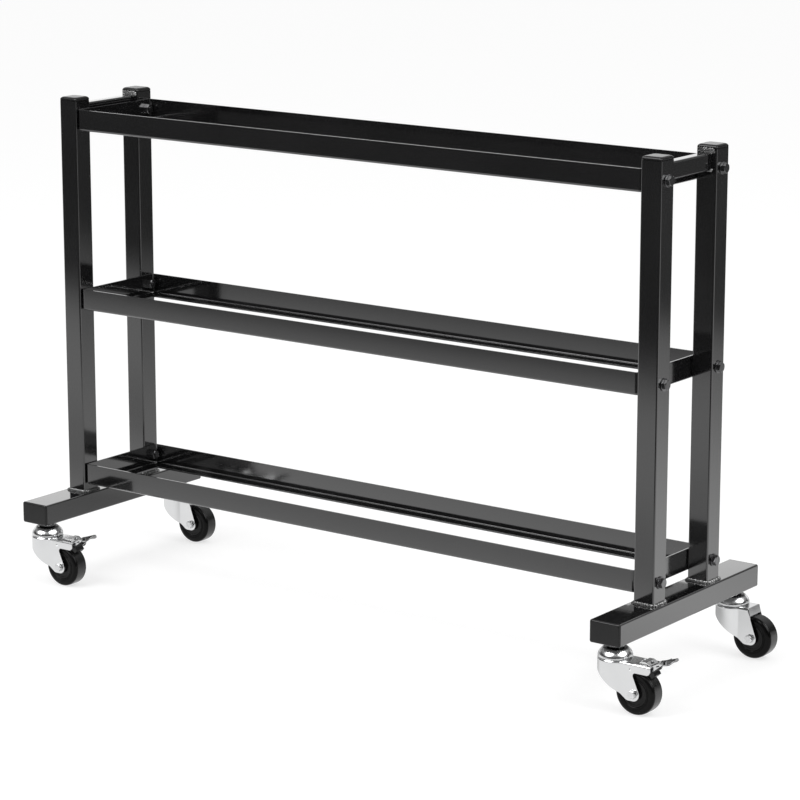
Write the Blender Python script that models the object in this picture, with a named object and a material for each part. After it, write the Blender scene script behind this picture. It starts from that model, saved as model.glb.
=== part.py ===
"""Three-tier cart for medicine balls.

Two welded side frames of steel tube carry three shelves of steel angle, and roll on four stem casters.
Lengths are in metres. X runs along the cart, Y from its front to its rear, and Z up. The origin lies
on the floor, at the middle of the cart's outline seen from above.
"""

import math

import bmesh
import bpy
from mathutils import Matrix, Vector

# Clearances
SEAT_GAP = 0.0003
PIN_PLAY = 0.0001
BOLT_PLAY = 0.0005
PLUG_PLAY = 0.0003
RACE_GAP = 0.0004
HUB_SIDE_GAP = 0.0005
LEVER_SIDE_GAP = 0.0015

# Side frames
FRAME_WIDTH = 1.330
FRAME_DEPTH = 0.216
UPRIGHT_SIZE = 0.040
UPRIGHT_LENGTH = 0.758
UPRIGHT_WALL = 0.002
FOOT_WIDTH = 0.060
FOOT_HEIGHT = 0.040
FOOT_LENGTH = 0.450
FOOT_WALL = 0.0025
CROSS_WIDTH = 0.020
CROSS_HEIGHT = 0.030
CROSS_WALL = 0.0015
CROSS_DROP = 0.0065
TUBE_CORNER = 0.003
CORNER_STEPS = 2
BEND_STEPS = 2

# Plastic caps in the tube ends
CAP_PLUG_DEPTH = 0.014
UPRIGHT_CAP_RIM = 0.002
UPRIGHT_CAP_DOME = 0.005
FOOT_CAP_RIM = 0.0015
FOOT_CAP_DOME = 0.0025
DOME_STEPS = 2

# Shelves of steel angle, mitred at the corners
SHELF_SETBACK = 0.004
FLANGE_HEIGHT = 0.040
LEDGE_WIDTH = 0.030
ANGLE_THICKNESS = 0.003
ANGLE_BEND = 0.0045
SHELF_CORNER = 0.007
LOWEST_SHELF_RISE = 0.0565
TOP_SHELF_DROP = 0.015
SHELF_NAMES = ("bottom", "middle", "top")

# Shelf bolts
BOLT_DIAMETER = 0.010
BOLT_DROP = 0.018
BOLT_HEAD_SIZE = 0.016
BOLT_HEAD_HEIGHT = 0.0064
BOLT_NUT_HEIGHT = 0.010
BOLT_WASHER_DIAMETER = 0.022
BOLT_WASHER_THICKNESS = 0.002

# Caster stem and raceway
KINGPIN_INSET = 0.032
STEM_DIAMETER = 0.012
STEM_REACH = 0.024
STEM_NUT_SIZE = 0.019
STEM_NUT_HEIGHT = 0.010
COLLAR_SIZE = 0.030
COLLAR_HEIGHT = 0.0095
RACEWAY_DIAMETER = 0.060
RACEWAY_TOP_DIAMETER = 0.040
RACEWAY_HEIGHT = 0.0168
RACEWAY_LIP = 0.0016
RACEWAY_START_ANGLE = math.radians(50.0)
RIVET_DIAMETER = 0.019
RIVET_END_DIAMETER = 0.014
RIVET_THICKNESS = 0.0025

# Caster fork, pressed from one sheet
FORK_THICKNESS = 0.0025
FORK_BEND = 0.003
CROWN_MARGIN = 0.001
CROWN_NECK_FILLET = 0.006
CROWN_SKIRT = 0.015
TYRE_HEADROOM = 0.0129
TRAIL = 0.048
FORK_LOBE = 0.012
FORK_TOE_FILLET = 0.010
FORK_TOE_X = 0.036
PLAIN_CROWN_REACH = 0.0415
HOOD_LEAN = 0.005
HOOD_CLEARANCE = 0.002
ARM_REACH = 0.0805
ARM_DEPTH = 0.016
ARM_TIP_RADIUS = 0.007
NOTCH_X = 0.0445
NOTCH_RADIUS = 0.005

# Wheel and axle
WHEEL_DIAMETER = 0.0762
TYRE_WIDTH = 0.032
TYRE_SHOULDER = 0.006
HUB_WIDTH = 0.037
HUB_BOSS_DIAMETER = 0.018
HUB_BOSS_TAPER = 0.001
HUB_RECESS = 0.0015
RIM_DIAMETER = 0.047
AXLE_DIAMETER = 0.008
AXLE_HEAD_SIZE = 0.013
AXLE_HEAD_HEIGHT = 0.0053
AXLE_NUT_HEIGHT = 0.0065

# Brake pedal and shoe on the two front casters
LEVER_WIDTH = 0.028
LEVER_SHEET = 0.002
LEVER_PIN_DIAMETER = 0.004
LEVER_PIN_X = 0.0422
LEVER_PIN_DROP = 0.008
LEVER_NOSE = 0.0036
LEVER_NOSE_ROUND = 0.0032
LEVER_CHIN_LENGTH = 0.0072
LEVER_HUMP_FRONT = 0.018
LEVER_HUMP_BACK = 0.0072
LEVER_HUMP_RISE = 0.0055
LEVER_DIP_DROP = 0.0005
LEVER_TAIL_DEPTH = 0.004
LEVER_TAIL_BEND = 0.004
LEVER_SLOT_START = 0.049
LEVER_END_X = 0.102
LEVER_DIP_X = 0.076
LEVER_SLOT_LENGTH = 0.008
LEVER_SLOT_WIDTH = 0.0025
LEVER_SLOT_ROUND = 0.0008
LEVER_SLOT_DROP = 0.006
PAD_LENGTH = 0.032
PAD_WIDTH = 0.025
PAD_CENTRE_X = 0.106
PAD_TILT = math.radians(18.0)
SHOE_WIDTH = 0.021
SHOE_GAP = 0.0045
SHOE_FIRST_ANGLE = math.radians(44.5)
SHOE_LAST_ANGLE = math.radians(62.0)
SHOE_HEEL_X = 0.0866
SHOE_HEEL_RISE = 0.0062
SHOE_SHOULDER_DROP = 0.0015
SHOE_NECK_WIDTH = 0.006

# Facets
RACEWAY_STEPS = 3
CROWN_STEPS = 6
FORK_STEPS = 3
LEVER_STEPS = 1
ROUND_SIDES = 18
WHEEL_SIDES = 24
BOLT_SIDES = 12
HOLE_SIDES = 12
BOLT_HOLE_SIDES = 8
SMOOTH_ANGLE = math.radians(38.0)

# Heights below the foot, which the casters hang from
CROWN_TOP = -(SEAT_GAP + COLLAR_HEIGHT + RACEWAY_HEIGHT + RACE_GAP)
CROWN_UNDERSIDE = CROWN_TOP - FORK_THICKNESS
WHEEL_RADIUS = WHEEL_DIAMETER / 2
AXLE_HEIGHT = CROWN_UNDERSIDE - TYRE_HEADROOM - WHEEL_RADIUS
CASTER_HEIGHT = WHEEL_RADIUS - AXLE_HEIGHT
LEVER_PIN_HEIGHT = CROWN_UNDERSIDE - LEVER_PIN_DROP

# Places that follow from the sizes above
FOOT_TOP = CASTER_HEIGHT + FOOT_HEIGHT
SIDE_FRAME_X = (FRAME_WIDTH - UPRIGHT_SIZE) / 2
UPRIGHT_Y = (FRAME_DEPTH - UPRIGHT_SIZE) / 2
KINGPIN_Y = FOOT_LENGTH / 2 - KINGPIN_INSET
SHELF_LENGTH = FRAME_WIDTH - 2 * UPRIGHT_SIZE - 2 * SEAT_GAP
SHELF_DEPTH = FRAME_DEPTH - 2 * SHELF_SETBACK
SHELF_PITCH = (UPRIGHT_LENGTH - TOP_SHELF_DROP - LOWEST_SHELF_RISE) / (len(SHELF_NAMES) - 1)
FORK_HALF_INSIDE = HUB_WIDTH / 2 + HUB_SIDE_GAP
FORK_HALF_WIDTH = FORK_HALF_INSIDE + FORK_THICKNESS
CROWN_RADIUS = RACEWAY_DIAMETER / 2 + CROWN_MARGIN
PAD_REACH = PAD_CENTRE_X + PAD_LENGTH / 2 * math.cos(PAD_TILT)
LEFT_REACH = SIDE_FRAME_X + max(FOOT_WIDTH / 2, CROWN_RADIUS)
RIGHT_REACH = SIDE_FRAME_X + max(PAD_REACH, TRAIL + WHEEL_RADIUS)
FRAME_CENTRE_X = (LEFT_REACH - RIGHT_REACH) / 2


def shelf_top(level):
    """Height of a shelf's flange above the floor."""
    return FOOT_TOP + LOWEST_SHELF_RISE + level * SHELF_PITCH


def bolt_height(level):
    """Height of the bolts that hold a shelf."""
    return shelf_top(level) - BOLT_DROP


def clear_scene():
    """Empties the scene that the cart is built in."""
    for obj in list(bpy.data.objects):
        bpy.data.objects.remove(obj, do_unlink=True)


def new_material(name, color, roughness, metallic):
    """A plain finish of one colour."""
    material = bpy.data.materials.new(name)
    material.use_nodes = True
    shader = material.node_tree.nodes["Principled BSDF"]
    shader.inputs["Base Color"].default_value = (*color, 1.0)
    shader.inputs["Roughness"].default_value = roughness
    shader.inputs["Metallic"].default_value = metallic
    return material


def rounded_outline(corners, steps):
    """A closed outline through (x, y, radius) corners, each rounded by an arc of its own radius."""
    outline = []
    for index, (x, y, radius) in enumerate(corners):
        corner = Vector((x, y))
        if radius <= 0:
            outline.append(corner)
            continue
        before = (Vector(corners[index - 1][:2]) - corner).normalized()
        after = (Vector(corners[(index + 1) % len(corners)][:2]) - corner).normalized()
        half_angle = before.angle(after) / 2
        centre = corner + (before + after).normalized() * radius / math.sin(half_angle)
        start = corner + before * radius / math.tan(half_angle) - centre
        end = corner + after * radius / math.tan(half_angle) - centre
        sweep = start.angle_signed(end)
        for step in range(steps + 1):
            turned = start.copy()
            turned.rotate(Matrix.Rotation(-sweep * step / steps, 2))
            outline.append(centre + turned)
    return outline


def rectangle(width, depth, radius):
    """A rectangle's outline about the origin, with round corners."""
    corners = [(sx * width / 2, sy * depth / 2, radius) for sx, sy in ((-1, -1), (1, -1), (1, 1), (-1, 1))]
    return rounded_outline(corners, CORNER_STEPS)


def circle(radius, sides):
    """A circle's outline about the origin."""
    return [Vector((radius, 0)) @ Matrix.Rotation(-2 * math.pi * side / sides, 2) for side in range(sides)]


def hexagon(size, sides):
    """A hexagon's outline, size across its flats, with as many points as the circles it is joined to."""
    outline = []
    for side in range(sides):
        angle = 2 * math.pi * side / sides
        off_flat = angle % (math.pi / 3) - math.pi / 6
        outline.append(Vector((math.cos(angle), math.sin(angle))) * size / 2 / math.cos(off_flat))
    return outline


def at_height(outline, height):
    """The outline as a ring of points at one height."""
    return [Vector((point.x, point.y, height)) for point in outline]


def loft(rings, hollow=False):
    """A mesh skinned over rings of equally many points: capped at both ends, or closed round a hollow."""
    bm = bmesh.new()
    rows = [[bm.verts.new(point) for point in ring] for ring in rings]
    pairs = list(zip(rows, rows[1:]))
    if hollow:
        pairs.append((rows[-1], rows[0]))
    else:
        bm.faces.new(reversed(rows[0]))
        bm.faces.new(rows[-1])
    for low, high in pairs:
        for index in range(len(low)):
            following = (index + 1) % len(low)
            bm.faces.new((low[index], low[following], high[following], high[index]))
    bmesh.ops.remove_doubles(bm, verts=bm.verts, dist=0.00001)
    return finished(bm)


def finished(bm):
    """The mesh of a bmesh, its faces pointing outwards."""
    bmesh.ops.recalc_face_normals(bm, faces=bm.faces)
    mesh = bpy.data.meshes.new("piece")
    bm.to_mesh(mesh)
    bm.free()
    return mesh


def prism(outline, low, high):
    """An outline extruded along Z."""
    return loft([at_height(outline, low), at_height(outline, high)])


def side_prism(outline, low, high):
    """An outline drawn in X and Z, extruded along Y."""
    return loft([[Vector((point.x, y, point.y)) for point in outline] for y in (low, high)])


def moved(mesh, matrix):
    """The mesh, turned or shifted by a matrix."""
    mesh.transform(matrix)
    return mesh


def rod(radius, low, high, axis, centre, sides=HOLE_SIDES):
    """A round rod from low to high along X or Y, through the centre."""
    turn = Matrix.Rotation(math.pi / 2, 4, "Y") if axis == "X" else Matrix.Rotation(-math.pi / 2, 4, "X")
    return moved(prism(circle(radius, sides), low, high), Matrix.Translation(centre) @ turn)


def boolean(base, tool, operation):
    """The mesh that the base makes with the tool."""
    bodies = [bpy.data.objects.new("body", mesh) for mesh in (base, tool)]
    for body in bodies:
        bpy.context.scene.collection.objects.link(body)
    modifier = bodies[0].modifiers.new("boolean", "BOOLEAN")
    modifier.operation = operation
    modifier.solver = "EXACT"
    modifier.object = bodies[1]
    evaluated = bodies[0].evaluated_get(bpy.context.evaluated_depsgraph_get())
    result = bpy.data.meshes.new_from_object(evaluated)
    for body in bodies:
        bpy.data.objects.remove(body, do_unlink=True)
    return result


def cut(base, *tools):
    """The base with every tool taken out of it."""
    for tool in tools:
        base = boolean(base, tool, "DIFFERENCE")
    return base


def joined(base, *others):
    """The base grown together with the other meshes."""
    for other in others:
        base = boolean(base, other, "UNION")
    return base


def place(name, mesh, material, parent, location=(0, 0, 0), turn=(0, 0, 0)):
    """One named piece of the cart, set in its place under its parent."""
    mesh.materials.clear()
    mesh.materials.append(material)
    mesh.shade_smooth()
    mesh.set_sharp_from_angle(angle=SMOOTH_ANGLE)
    piece = bpy.data.objects.new(name, mesh)
    piece.parent = parent
    piece.location = location
    piece.rotation_euler = turn
    bpy.context.scene.collection.objects.link(piece)
    return piece


def marker(name, parent, location):
    """An empty that carries pieces at a joint or a corner of the cart."""
    empty = bpy.data.objects.new(name, None)
    empty.parent = parent
    empty.location = location
    bpy.context.scene.collection.objects.link(empty)
    return empty


def tube(width, depth, wall, length):
    """An open rectangular tube, centred on the Z axis and standing on its origin."""
    outside = rectangle(width, depth, TUBE_CORNER)
    inside = rectangle(width - 2 * wall, depth - 2 * wall, max(TUBE_CORNER - wall, wall / 4))
    rings = [at_height(outside, 0), at_height(outside, length)]
    rings += [at_height(inside, length), at_height(inside, 0)]
    return loft(rings, hollow=True)


def upright_mesh():
    """An upright, drilled through for one bolt at each shelf."""
    holes = []
    for level in range(len(SHELF_NAMES)):
        height = bolt_height(level) - FOOT_TOP - SEAT_GAP
        radius = BOLT_DIAMETER / 2 + BOLT_PLAY
        holes.append(rod(radius, -UPRIGHT_SIZE, UPRIGHT_SIZE, "X", (0, 0, height), BOLT_HOLE_SIDES))
    return cut(tube(UPRIGHT_SIZE, UPRIGHT_SIZE, UPRIGHT_WALL, UPRIGHT_LENGTH), *holes)


def foot_mesh():
    """A foot along Y, its underside at the origin's height, with a nut welded in for each caster stem."""
    centred = Matrix.Translation((0, -FOOT_LENGTH / 2, FOOT_HEIGHT / 2))
    lie_down = centred @ Matrix.Rotation(-math.pi / 2, 4, "X")
    foot = moved(tube(FOOT_WIDTH, FOOT_HEIGHT, FOOT_WALL, FOOT_LENGTH), lie_down)
    for side in (-1, 1):
        at_kingpin = Matrix.Translation((0, side * KINGPIN_Y, 0))
        nut = prism(hexagon(STEM_NUT_SIZE, BOLT_SIDES), FOOT_WALL / 2, FOOT_WALL + STEM_NUT_HEIGHT)
        foot = joined(foot, moved(nut, at_kingpin))
        bore = prism(circle(STEM_DIAMETER / 2 + PIN_PLAY, ROUND_SIDES), -FOOT_WALL, STEM_REACH)
        foot = cut(foot, moved(bore, at_kingpin))
    return foot


def cap_mesh(tube_size, wall, rim, dome):
    """A plastic cap for a tube's end at height 0: a plug below, a rim and a rounded top above."""
    width, depth = tube_size
    plug_width = width - 2 * (wall + PLUG_PLAY)
    plug_depth = depth - 2 * (wall + PLUG_PLAY)
    plug = rectangle(plug_width, plug_depth, PLUG_PLAY)
    rings = [at_height(plug, -CAP_PLUG_DEPTH), at_height(plug, SEAT_GAP)]
    rings.append(at_height(rectangle(width, depth, TUBE_CORNER), SEAT_GAP))
    for step in range(DOME_STEPS + 1):
        angle = math.pi / 2 * step / DOME_STEPS
        inset = dome * (1 - math.cos(angle))
        outline = rectangle(width - 2 * inset, depth - 2 * inset, TUBE_CORNER)
        rings.append(at_height(outline, rim + dome * math.sin(angle)))
    return loft(rings)


def angle_section():
    """The steel angle's section as (inset, height) points, inset counted in from its outer face."""
    inner_bend = ANGLE_BEND - ANGLE_THICKNESS
    section = [(0, FLANGE_HEIGHT)]
    for step in range(BEND_STEPS + 1):
        angle = math.pi / 2 * step / BEND_STEPS
        section.append((ANGLE_BEND * (1 - math.cos(angle)), ANGLE_BEND * (1 - math.sin(angle))))
    section.append((LEDGE_WIDTH, 0))
    section.append((LEDGE_WIDTH, ANGLE_THICKNESS))
    section.append((ANGLE_THICKNESS + inner_bend, ANGLE_THICKNESS))
    section.append((ANGLE_THICKNESS, ANGLE_THICKNESS + inner_bend))
    section.append((ANGLE_THICKNESS, FLANGE_HEIGHT))
    return section


def corner_point(inset, angle):
    """Where a point of the section lies on its way round the shelf's corner, along and into the shelf."""
    if inset >= SHELF_CORNER:
        return inset, inset
    reach = SHELF_CORNER - inset
    return SHELF_CORNER - reach * math.sin(angle), SHELF_CORNER - reach * math.cos(angle)


def shelf_member_mesh(length, offset):
    """One side of a shelf, along X, its outer face at -offset in Y and its round corners mitred."""
    mitre_gap = SEAT_GAP / math.sqrt(2)
    start_rings = []
    for step in range(BEND_STEPS + 1):
        angle = math.pi / 4 * (1 - step / BEND_STEPS)
        ring = []
        for inset, height in angle_section():
            along, into = corner_point(inset, angle)
            if step == 0 or inset >= SHELF_CORNER:
                along += mitre_gap
            ring.append(Vector((along - length / 2, into - offset, height)))
        start_rings.append(ring)
    end_rings = []
    for ring in reversed(start_rings):
        end_rings.append([Vector((-point.x, point.y, point.z)) for point in ring])
    return loft(start_rings + end_rings)


def shelf_end_mesh():
    """A shelf's end, drilled for its two bolts."""
    end = shelf_member_mesh(SHELF_DEPTH, SHELF_LENGTH / 2)
    for side in (-1, 1):
        centre = (side * UPRIGHT_Y, -SHELF_LENGTH / 2, FLANGE_HEIGHT - BOLT_DROP)
        reach = 2 * ANGLE_THICKNESS
        end = cut(end, rod(BOLT_DIAMETER / 2 + BOLT_PLAY, -reach, reach, "Y", centre, BOLT_HOLE_SIDES))
    return end


def bolt_mesh():
    """A shelf bolt with its washers and nut, along Z, the upright's outer face at height 0."""
    shank = circle(BOLT_DIAMETER / 2, BOLT_SIDES)
    washer = circle(BOLT_WASHER_DIAMETER / 2, BOLT_SIDES)
    head = hexagon(BOLT_HEAD_SIZE, BOLT_SIDES)
    under_head = SEAT_GAP + BOLT_WASHER_THICKNESS
    clamped = UPRIGHT_SIZE + SEAT_GAP + ANGLE_THICKNESS + SEAT_GAP
    nut_end = clamped + BOLT_NUT_HEIGHT
    return loft([
        at_height(head, under_head + BOLT_HEAD_HEIGHT),
        at_height(head, under_head),
        at_height(washer, under_head),
        at_height(washer, SEAT_GAP),
        at_height(shank, SEAT_GAP),
        at_height(shank, -clamped),
        at_height(head, -clamped),
        at_height(head, -nut_end),
    ])


def stem_mesh():
    """A caster's fixed part: threaded stem, hexagon collar, domed raceway and riveted kingpin."""
    stem = circle(STEM_DIAMETER / 2, ROUND_SIDES)
    dome_top = -SEAT_GAP - COLLAR_HEIGHT
    dome_bottom = dome_top - RACEWAY_HEIGHT
    rivet_top = CROWN_UNDERSIDE - RACE_GAP
    collar = hexagon(COLLAR_SIZE, ROUND_SIDES)
    rings = [
        at_height(stem, STEM_REACH),
        at_height(stem, -SEAT_GAP),
        at_height(collar, -SEAT_GAP),
        at_height(collar, dome_top),
    ]
    swell = (RACEWAY_DIAMETER - RACEWAY_TOP_DIAMETER) / 2 / (1 - math.sin(RACEWAY_START_ANGLE))
    fall = (RACEWAY_HEIGHT - RACEWAY_LIP) / math.cos(RACEWAY_START_ANGLE)
    for step in range(RACEWAY_STEPS + 1):
        angle = RACEWAY_START_ANGLE + (math.pi / 2 - RACEWAY_START_ANGLE) * step / RACEWAY_STEPS
        radius = RACEWAY_DIAMETER / 2 - swell * (1 - math.sin(angle))
        drop = fall * (math.cos(RACEWAY_START_ANGLE) - math.cos(angle))
        rings.append(at_height(circle(radius, ROUND_SIDES), dome_top - drop))
    rings.append(at_height(circle(RACEWAY_DIAMETER / 2, ROUND_SIDES), dome_bottom))
    rings.append(at_height(stem, dome_bottom))
    rings.append(at_height(stem, rivet_top))
    rings.append(at_height(circle(RIVET_DIAMETER / 2, ROUND_SIDES), rivet_top))
    rings.append(at_height(circle(RIVET_END_DIAMETER / 2, ROUND_SIDES), rivet_top - RIVET_THICKNESS))
    return loft(rings)


def crown_outline(inset, reach):
    """The fork from above: a round crown that necks in to two straight sides, open towards the wheel."""
    radius = CROWN_RADIUS - inset
    half_width = FORK_HALF_WIDTH - inset
    fillet = CROWN_NECK_FILLET + inset
    centre_x = math.sqrt((radius + fillet) ** 2 - (half_width + fillet) ** 2)
    neck_angle = math.atan2(half_width + fillet, centre_x)
    upper = [Vector((reach, half_width)), Vector((centre_x, half_width))]
    for step in range(1, BEND_STEPS + 1):
        angle = -math.pi / 2 - (math.pi / 2 - neck_angle) * step / BEND_STEPS
        x = centre_x + fillet * math.cos(angle)
        upper.append(Vector((x, half_width + fillet + fillet * math.sin(angle))))
    for step in range(1, CROWN_STEPS + 1):
        angle = neck_angle + (math.pi - neck_angle) * step / CROWN_STEPS
        upper.append(Vector((radius * math.cos(angle), radius * math.sin(angle))))
    lower = [Vector((point.x, -point.y)) for point in reversed(upper[:-1])]
    return upper + lower


def fork_side_outline(braked):
    """The fork from the side: the leading edge slopes to the toe, and a lobe is wrapped round the axle."""
    sole = AXLE_HEIGHT - FORK_LOBE
    front = -CROWN_RADIUS - FORK_THICKNESS
    above = CROWN_TOP + FORK_THICKNESS
    if braked:
        top_x, top_z = NOTCH_X, CROWN_TOP - ARM_DEPTH
    else:
        top_x, top_z = PLAIN_CROWN_REACH, CROWN_TOP
    to_top = Vector((top_x - TRAIL, top_z - AXLE_HEIGHT))
    tangent_angle = math.atan2(to_top.y, to_top.x) - math.acos(FORK_LOBE / to_top.length)
    outwards = Vector((math.cos(tangent_angle), math.sin(tangent_angle)))
    tangent = Vector((TRAIL, AXLE_HEIGHT)) + FORK_LOBE * outwards
    slope = (tangent.x - top_x) / (top_z - tangent.y)
    heel_x = tangent.x + slope * (tangent.y - sole)
    corners = [(front, above, 0), (front, CROWN_TOP - CROWN_SKIRT, 0)]
    corners.append((FORK_TOE_X, sole, FORK_TOE_FILLET))
    corners.append((heel_x, sole, FORK_LOBE))
    if braked:
        corners.append((top_x, top_z, NOTCH_RADIUS))
        corners.append((ARM_REACH, top_z, ARM_TIP_RADIUS))
        corners.append((ARM_REACH, above, 0))
    else:
        corners.append((top_x, top_z, 0))
        corners.append((top_x, above, 0))
    return rounded_outline(corners, FORK_STEPS)


def pressed_shell():
    """The sheet that both forks are cut from: a crown with bent edges, and walls all round it."""
    sole = AXLE_HEIGHT - 2 * FORK_LOBE
    far = ARM_REACH + TRAIL
    outside = crown_outline(0, far)
    rings = [at_height(outside, sole)]
    for step in range(BEND_STEPS + 1):
        angle = math.pi / 2 * step / BEND_STEPS
        outline = crown_outline(FORK_BEND * (1 - math.cos(angle)), far)
        rings.append(at_height(outline, CROWN_TOP - FORK_BEND * (1 - math.sin(angle))))
    hollow = prism(crown_outline(FORK_THICKNESS, 2 * far), 2 * sole, CROWN_UNDERSIDE)
    return cut(loft(rings), hollow)


def hood_mesh():
    """The lip that a plain fork's crown bends down into, over the wheel."""
    low = AXLE_HEIGHT + math.sqrt(WHEEL_RADIUS**2 - HOOD_LEAN**2) + HOOD_CLEARANCE
    edge = PLAIN_CROWN_REACH
    bend = FORK_BEND / 2
    outline = rounded_outline([
        (edge - FORK_THICKNESS, CROWN_TOP, 0),
        (edge + bend, CROWN_TOP, bend),
        (edge + bend + HOOD_LEAN, low, 0),
        (edge + bend + HOOD_LEAN - FORK_THICKNESS, low, 0),
        (edge - FORK_THICKNESS, CROWN_UNDERSIDE, 0),
    ], BEND_STEPS)
    return side_prism(outline, -FORK_HALF_INSIDE, FORK_HALF_INSIDE)


def fork_mesh(braked):
    """A caster's fork, about the kingpin's axis at the foot's underside."""
    side = side_prism(fork_side_outline(braked), -2 * CROWN_RADIUS, 2 * CROWN_RADIUS)
    fork = boolean(pressed_shell(), side, "INTERSECT")
    wide = 2 * CROWN_RADIUS
    if braked:
        slot_half = LEVER_WIDTH / 2 + LEVER_SIDE_GAP
        slot = rectangle(ARM_REACH, 2 * slot_half, LEVER_SIDE_GAP)
        slot_place = Matrix.Translation((LEVER_SLOT_START + ARM_REACH / 2, 0, 0))
        slot_tool = prism(slot, CROWN_UNDERSIDE - FORK_THICKNESS, CROWN_TOP + FORK_THICKNESS)
        slot_tool = moved(slot_tool, slot_place)
        pin_hole = LEVER_PIN_DIAMETER / 2 + PIN_PLAY
        fork = cut(fork, slot_tool, rod(pin_hole, -wide, wide, "Y", (LEVER_PIN_X, 0, LEVER_PIN_HEIGHT)))
    else:
        fork = joined(fork, hood_mesh())
    kingpin_hole = prism(circle(STEM_DIAMETER / 2 + PIN_PLAY, ROUND_SIDES), AXLE_HEIGHT, 0)
    axle_hole = rod(AXLE_DIAMETER / 2 + PIN_PLAY, -wide, wide, "Y", (TRAIL, 0, AXLE_HEIGHT))
    return cut(fork, kingpin_hole, axle_hole)


def wheel_profile():
    """Half the wheel's section from its bore to its tread, as (radius, half width) points."""
    face = TYRE_WIDTH / 2
    web = face - HUB_RECESS
    boss = HUB_BOSS_DIAMETER / 2
    return [
        (AXLE_DIAMETER / 2 + PIN_PLAY, HUB_WIDTH / 2),
        (boss, HUB_WIDTH / 2),
        (boss + HUB_BOSS_TAPER, web),
        (RIM_DIAMETER / 2 - HUB_RECESS, web),
        (RIM_DIAMETER / 2, face),
        (WHEEL_RADIUS - TYRE_SHOULDER, face),
        (WHEEL_RADIUS, face - TYRE_SHOULDER),
    ]


def wheel_mesh():
    """A wheel, tyre and core in one, turned about Z."""
    half = wheel_profile()
    profile = half + [(radius, -width) for radius, width in reversed(half)]
    return loft([at_height(circle(radius, WHEEL_SIDES), width) for radius, width in profile], hollow=True)


def axle_mesh():
    """The axle bolt along Z, its head at the top, with the nut on its other end."""
    head_face = FORK_HALF_WIDTH + SEAT_GAP
    shank = circle(AXLE_DIAMETER / 2, BOLT_SIDES)
    head = hexagon(AXLE_HEAD_SIZE, BOLT_SIDES)
    return loft([
        at_height(head, head_face + AXLE_HEAD_HEIGHT),
        at_height(head, head_face),
        at_height(shank, head_face),
        at_height(shank, -head_face),
        at_height(head, -head_face),
        at_height(head, -head_face - AXLE_NUT_HEIGHT),
    ])


def lever_outline(drop):
    """The brake pedal's channel from the side, lowered by drop, in the fork's X and Z."""
    hump = CROWN_TOP + LEVER_HUMP_RISE
    belly = LEVER_PIN_HEIGHT - LEVER_PIN_DIAMETER / 2
    dip = CROWN_TOP - LEVER_DIP_DROP
    end = pad_height(LEVER_END_X)
    nose = LEVER_PIN_X - LEVER_NOSE
    chin = LEVER_PIN_X + LEVER_NOSE
    corners = [
        (nose, LEVER_PIN_HEIGHT - LEVER_NOSE, LEVER_NOSE_ROUND),
        (chin, LEVER_PIN_HEIGHT - LEVER_NOSE, LEVER_NOSE),
        (chin + LEVER_CHIN_LENGTH, belly, LEVER_NOSE),
        (LEVER_DIP_X + LEVER_SHEET, belly, LEVER_SHEET),
        (LEVER_END_X, end - LEVER_TAIL_DEPTH, 0),
        (LEVER_END_X, end, 0),
        (LEVER_DIP_X + LEVER_TAIL_BEND, dip, LEVER_TAIL_BEND),
        (LEVER_DIP_X, dip, LEVER_SHEET),
        (LEVER_DIP_X - LEVER_HUMP_BACK, hump, LEVER_NOSE),
        (LEVER_DIP_X - LEVER_HUMP_FRONT, hump, LEVER_NOSE),
        (LEVER_SLOT_START + LEVER_SHEET, CROWN_UNDERSIDE - LEVER_SHEET, LEVER_SHEET),
        (nose, LEVER_PIN_HEIGHT + LEVER_NOSE, LEVER_NOSE_ROUND),
    ]
    return rounded_outline([(x, z - drop, radius) for x, z, radius in corners], LEVER_STEPS)


def pad_height(x):
    """Height of the pedal's pad, which rises away from the fork."""
    tip = CROWN_TOP + LEVER_HUMP_RISE + PAD_LENGTH * math.sin(PAD_TILT) + LEVER_SHEET
    return tip - (PAD_REACH - x) * math.tan(PAD_TILT)


def pad_mesh():
    """The leaf-shaped pad that the foot presses."""
    stretch = Matrix.Diagonal((PAD_LENGTH / 2, PAD_WIDTH / 2))
    leaf = [stretch @ point for point in circle(1, ROUND_SIDES)]
    tilt = Matrix.Rotation(-PAD_TILT, 4, "Y")
    centre = Matrix.Translation((PAD_CENTRE_X, 0, pad_height(PAD_CENTRE_X)))
    return moved(prism(leaf, -LEVER_SHEET / 2, LEVER_SHEET / 2), centre @ tilt)


def pedal_mesh():
    """The brake pedal with its hinge pin, about the pin's axis."""
    half = LEVER_WIDTH / 2
    channel = side_prism(lever_outline(0), -half, half)
    hollow = side_prism(lever_outline(LEVER_SHEET), -half + LEVER_SHEET, half - LEVER_SHEET)
    channel = cut(channel, hollow)
    slot_angle = math.atan2(pad_height(LEVER_END_X) - CROWN_TOP, LEVER_END_X - LEVER_DIP_X)
    slot = rounded_outline([
        (sx * LEVER_SLOT_LENGTH / 2, sz * LEVER_SLOT_WIDTH / 2, LEVER_SLOT_ROUND)
        for sx, sz in ((-1, -1), (1, -1), (1, 1), (-1, 1))
    ], LEVER_STEPS)
    slot_x = (LEVER_DIP_X + LEVER_END_X) / 2 + LEVER_SHEET
    slot_z = pad_height(slot_x) - LEVER_SLOT_DROP
    slot_place = Matrix.Translation((slot_x, 0, slot_z)) @ Matrix.Rotation(-slot_angle, 4, "Y")
    channel = cut(channel, moved(side_prism(slot, -LEVER_WIDTH, LEVER_WIDTH), slot_place))
    pin_reach = FORK_HALF_WIDTH + SEAT_GAP
    pin = rod(LEVER_PIN_DIAMETER / 2, -pin_reach, pin_reach, "Y", (LEVER_PIN_X, 0, LEVER_PIN_HEIGHT))
    pedal = joined(channel, pad_mesh(), pin)
    return moved(pedal, Matrix.Translation((-LEVER_PIN_X, 0, -LEVER_PIN_HEIGHT)))


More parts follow.
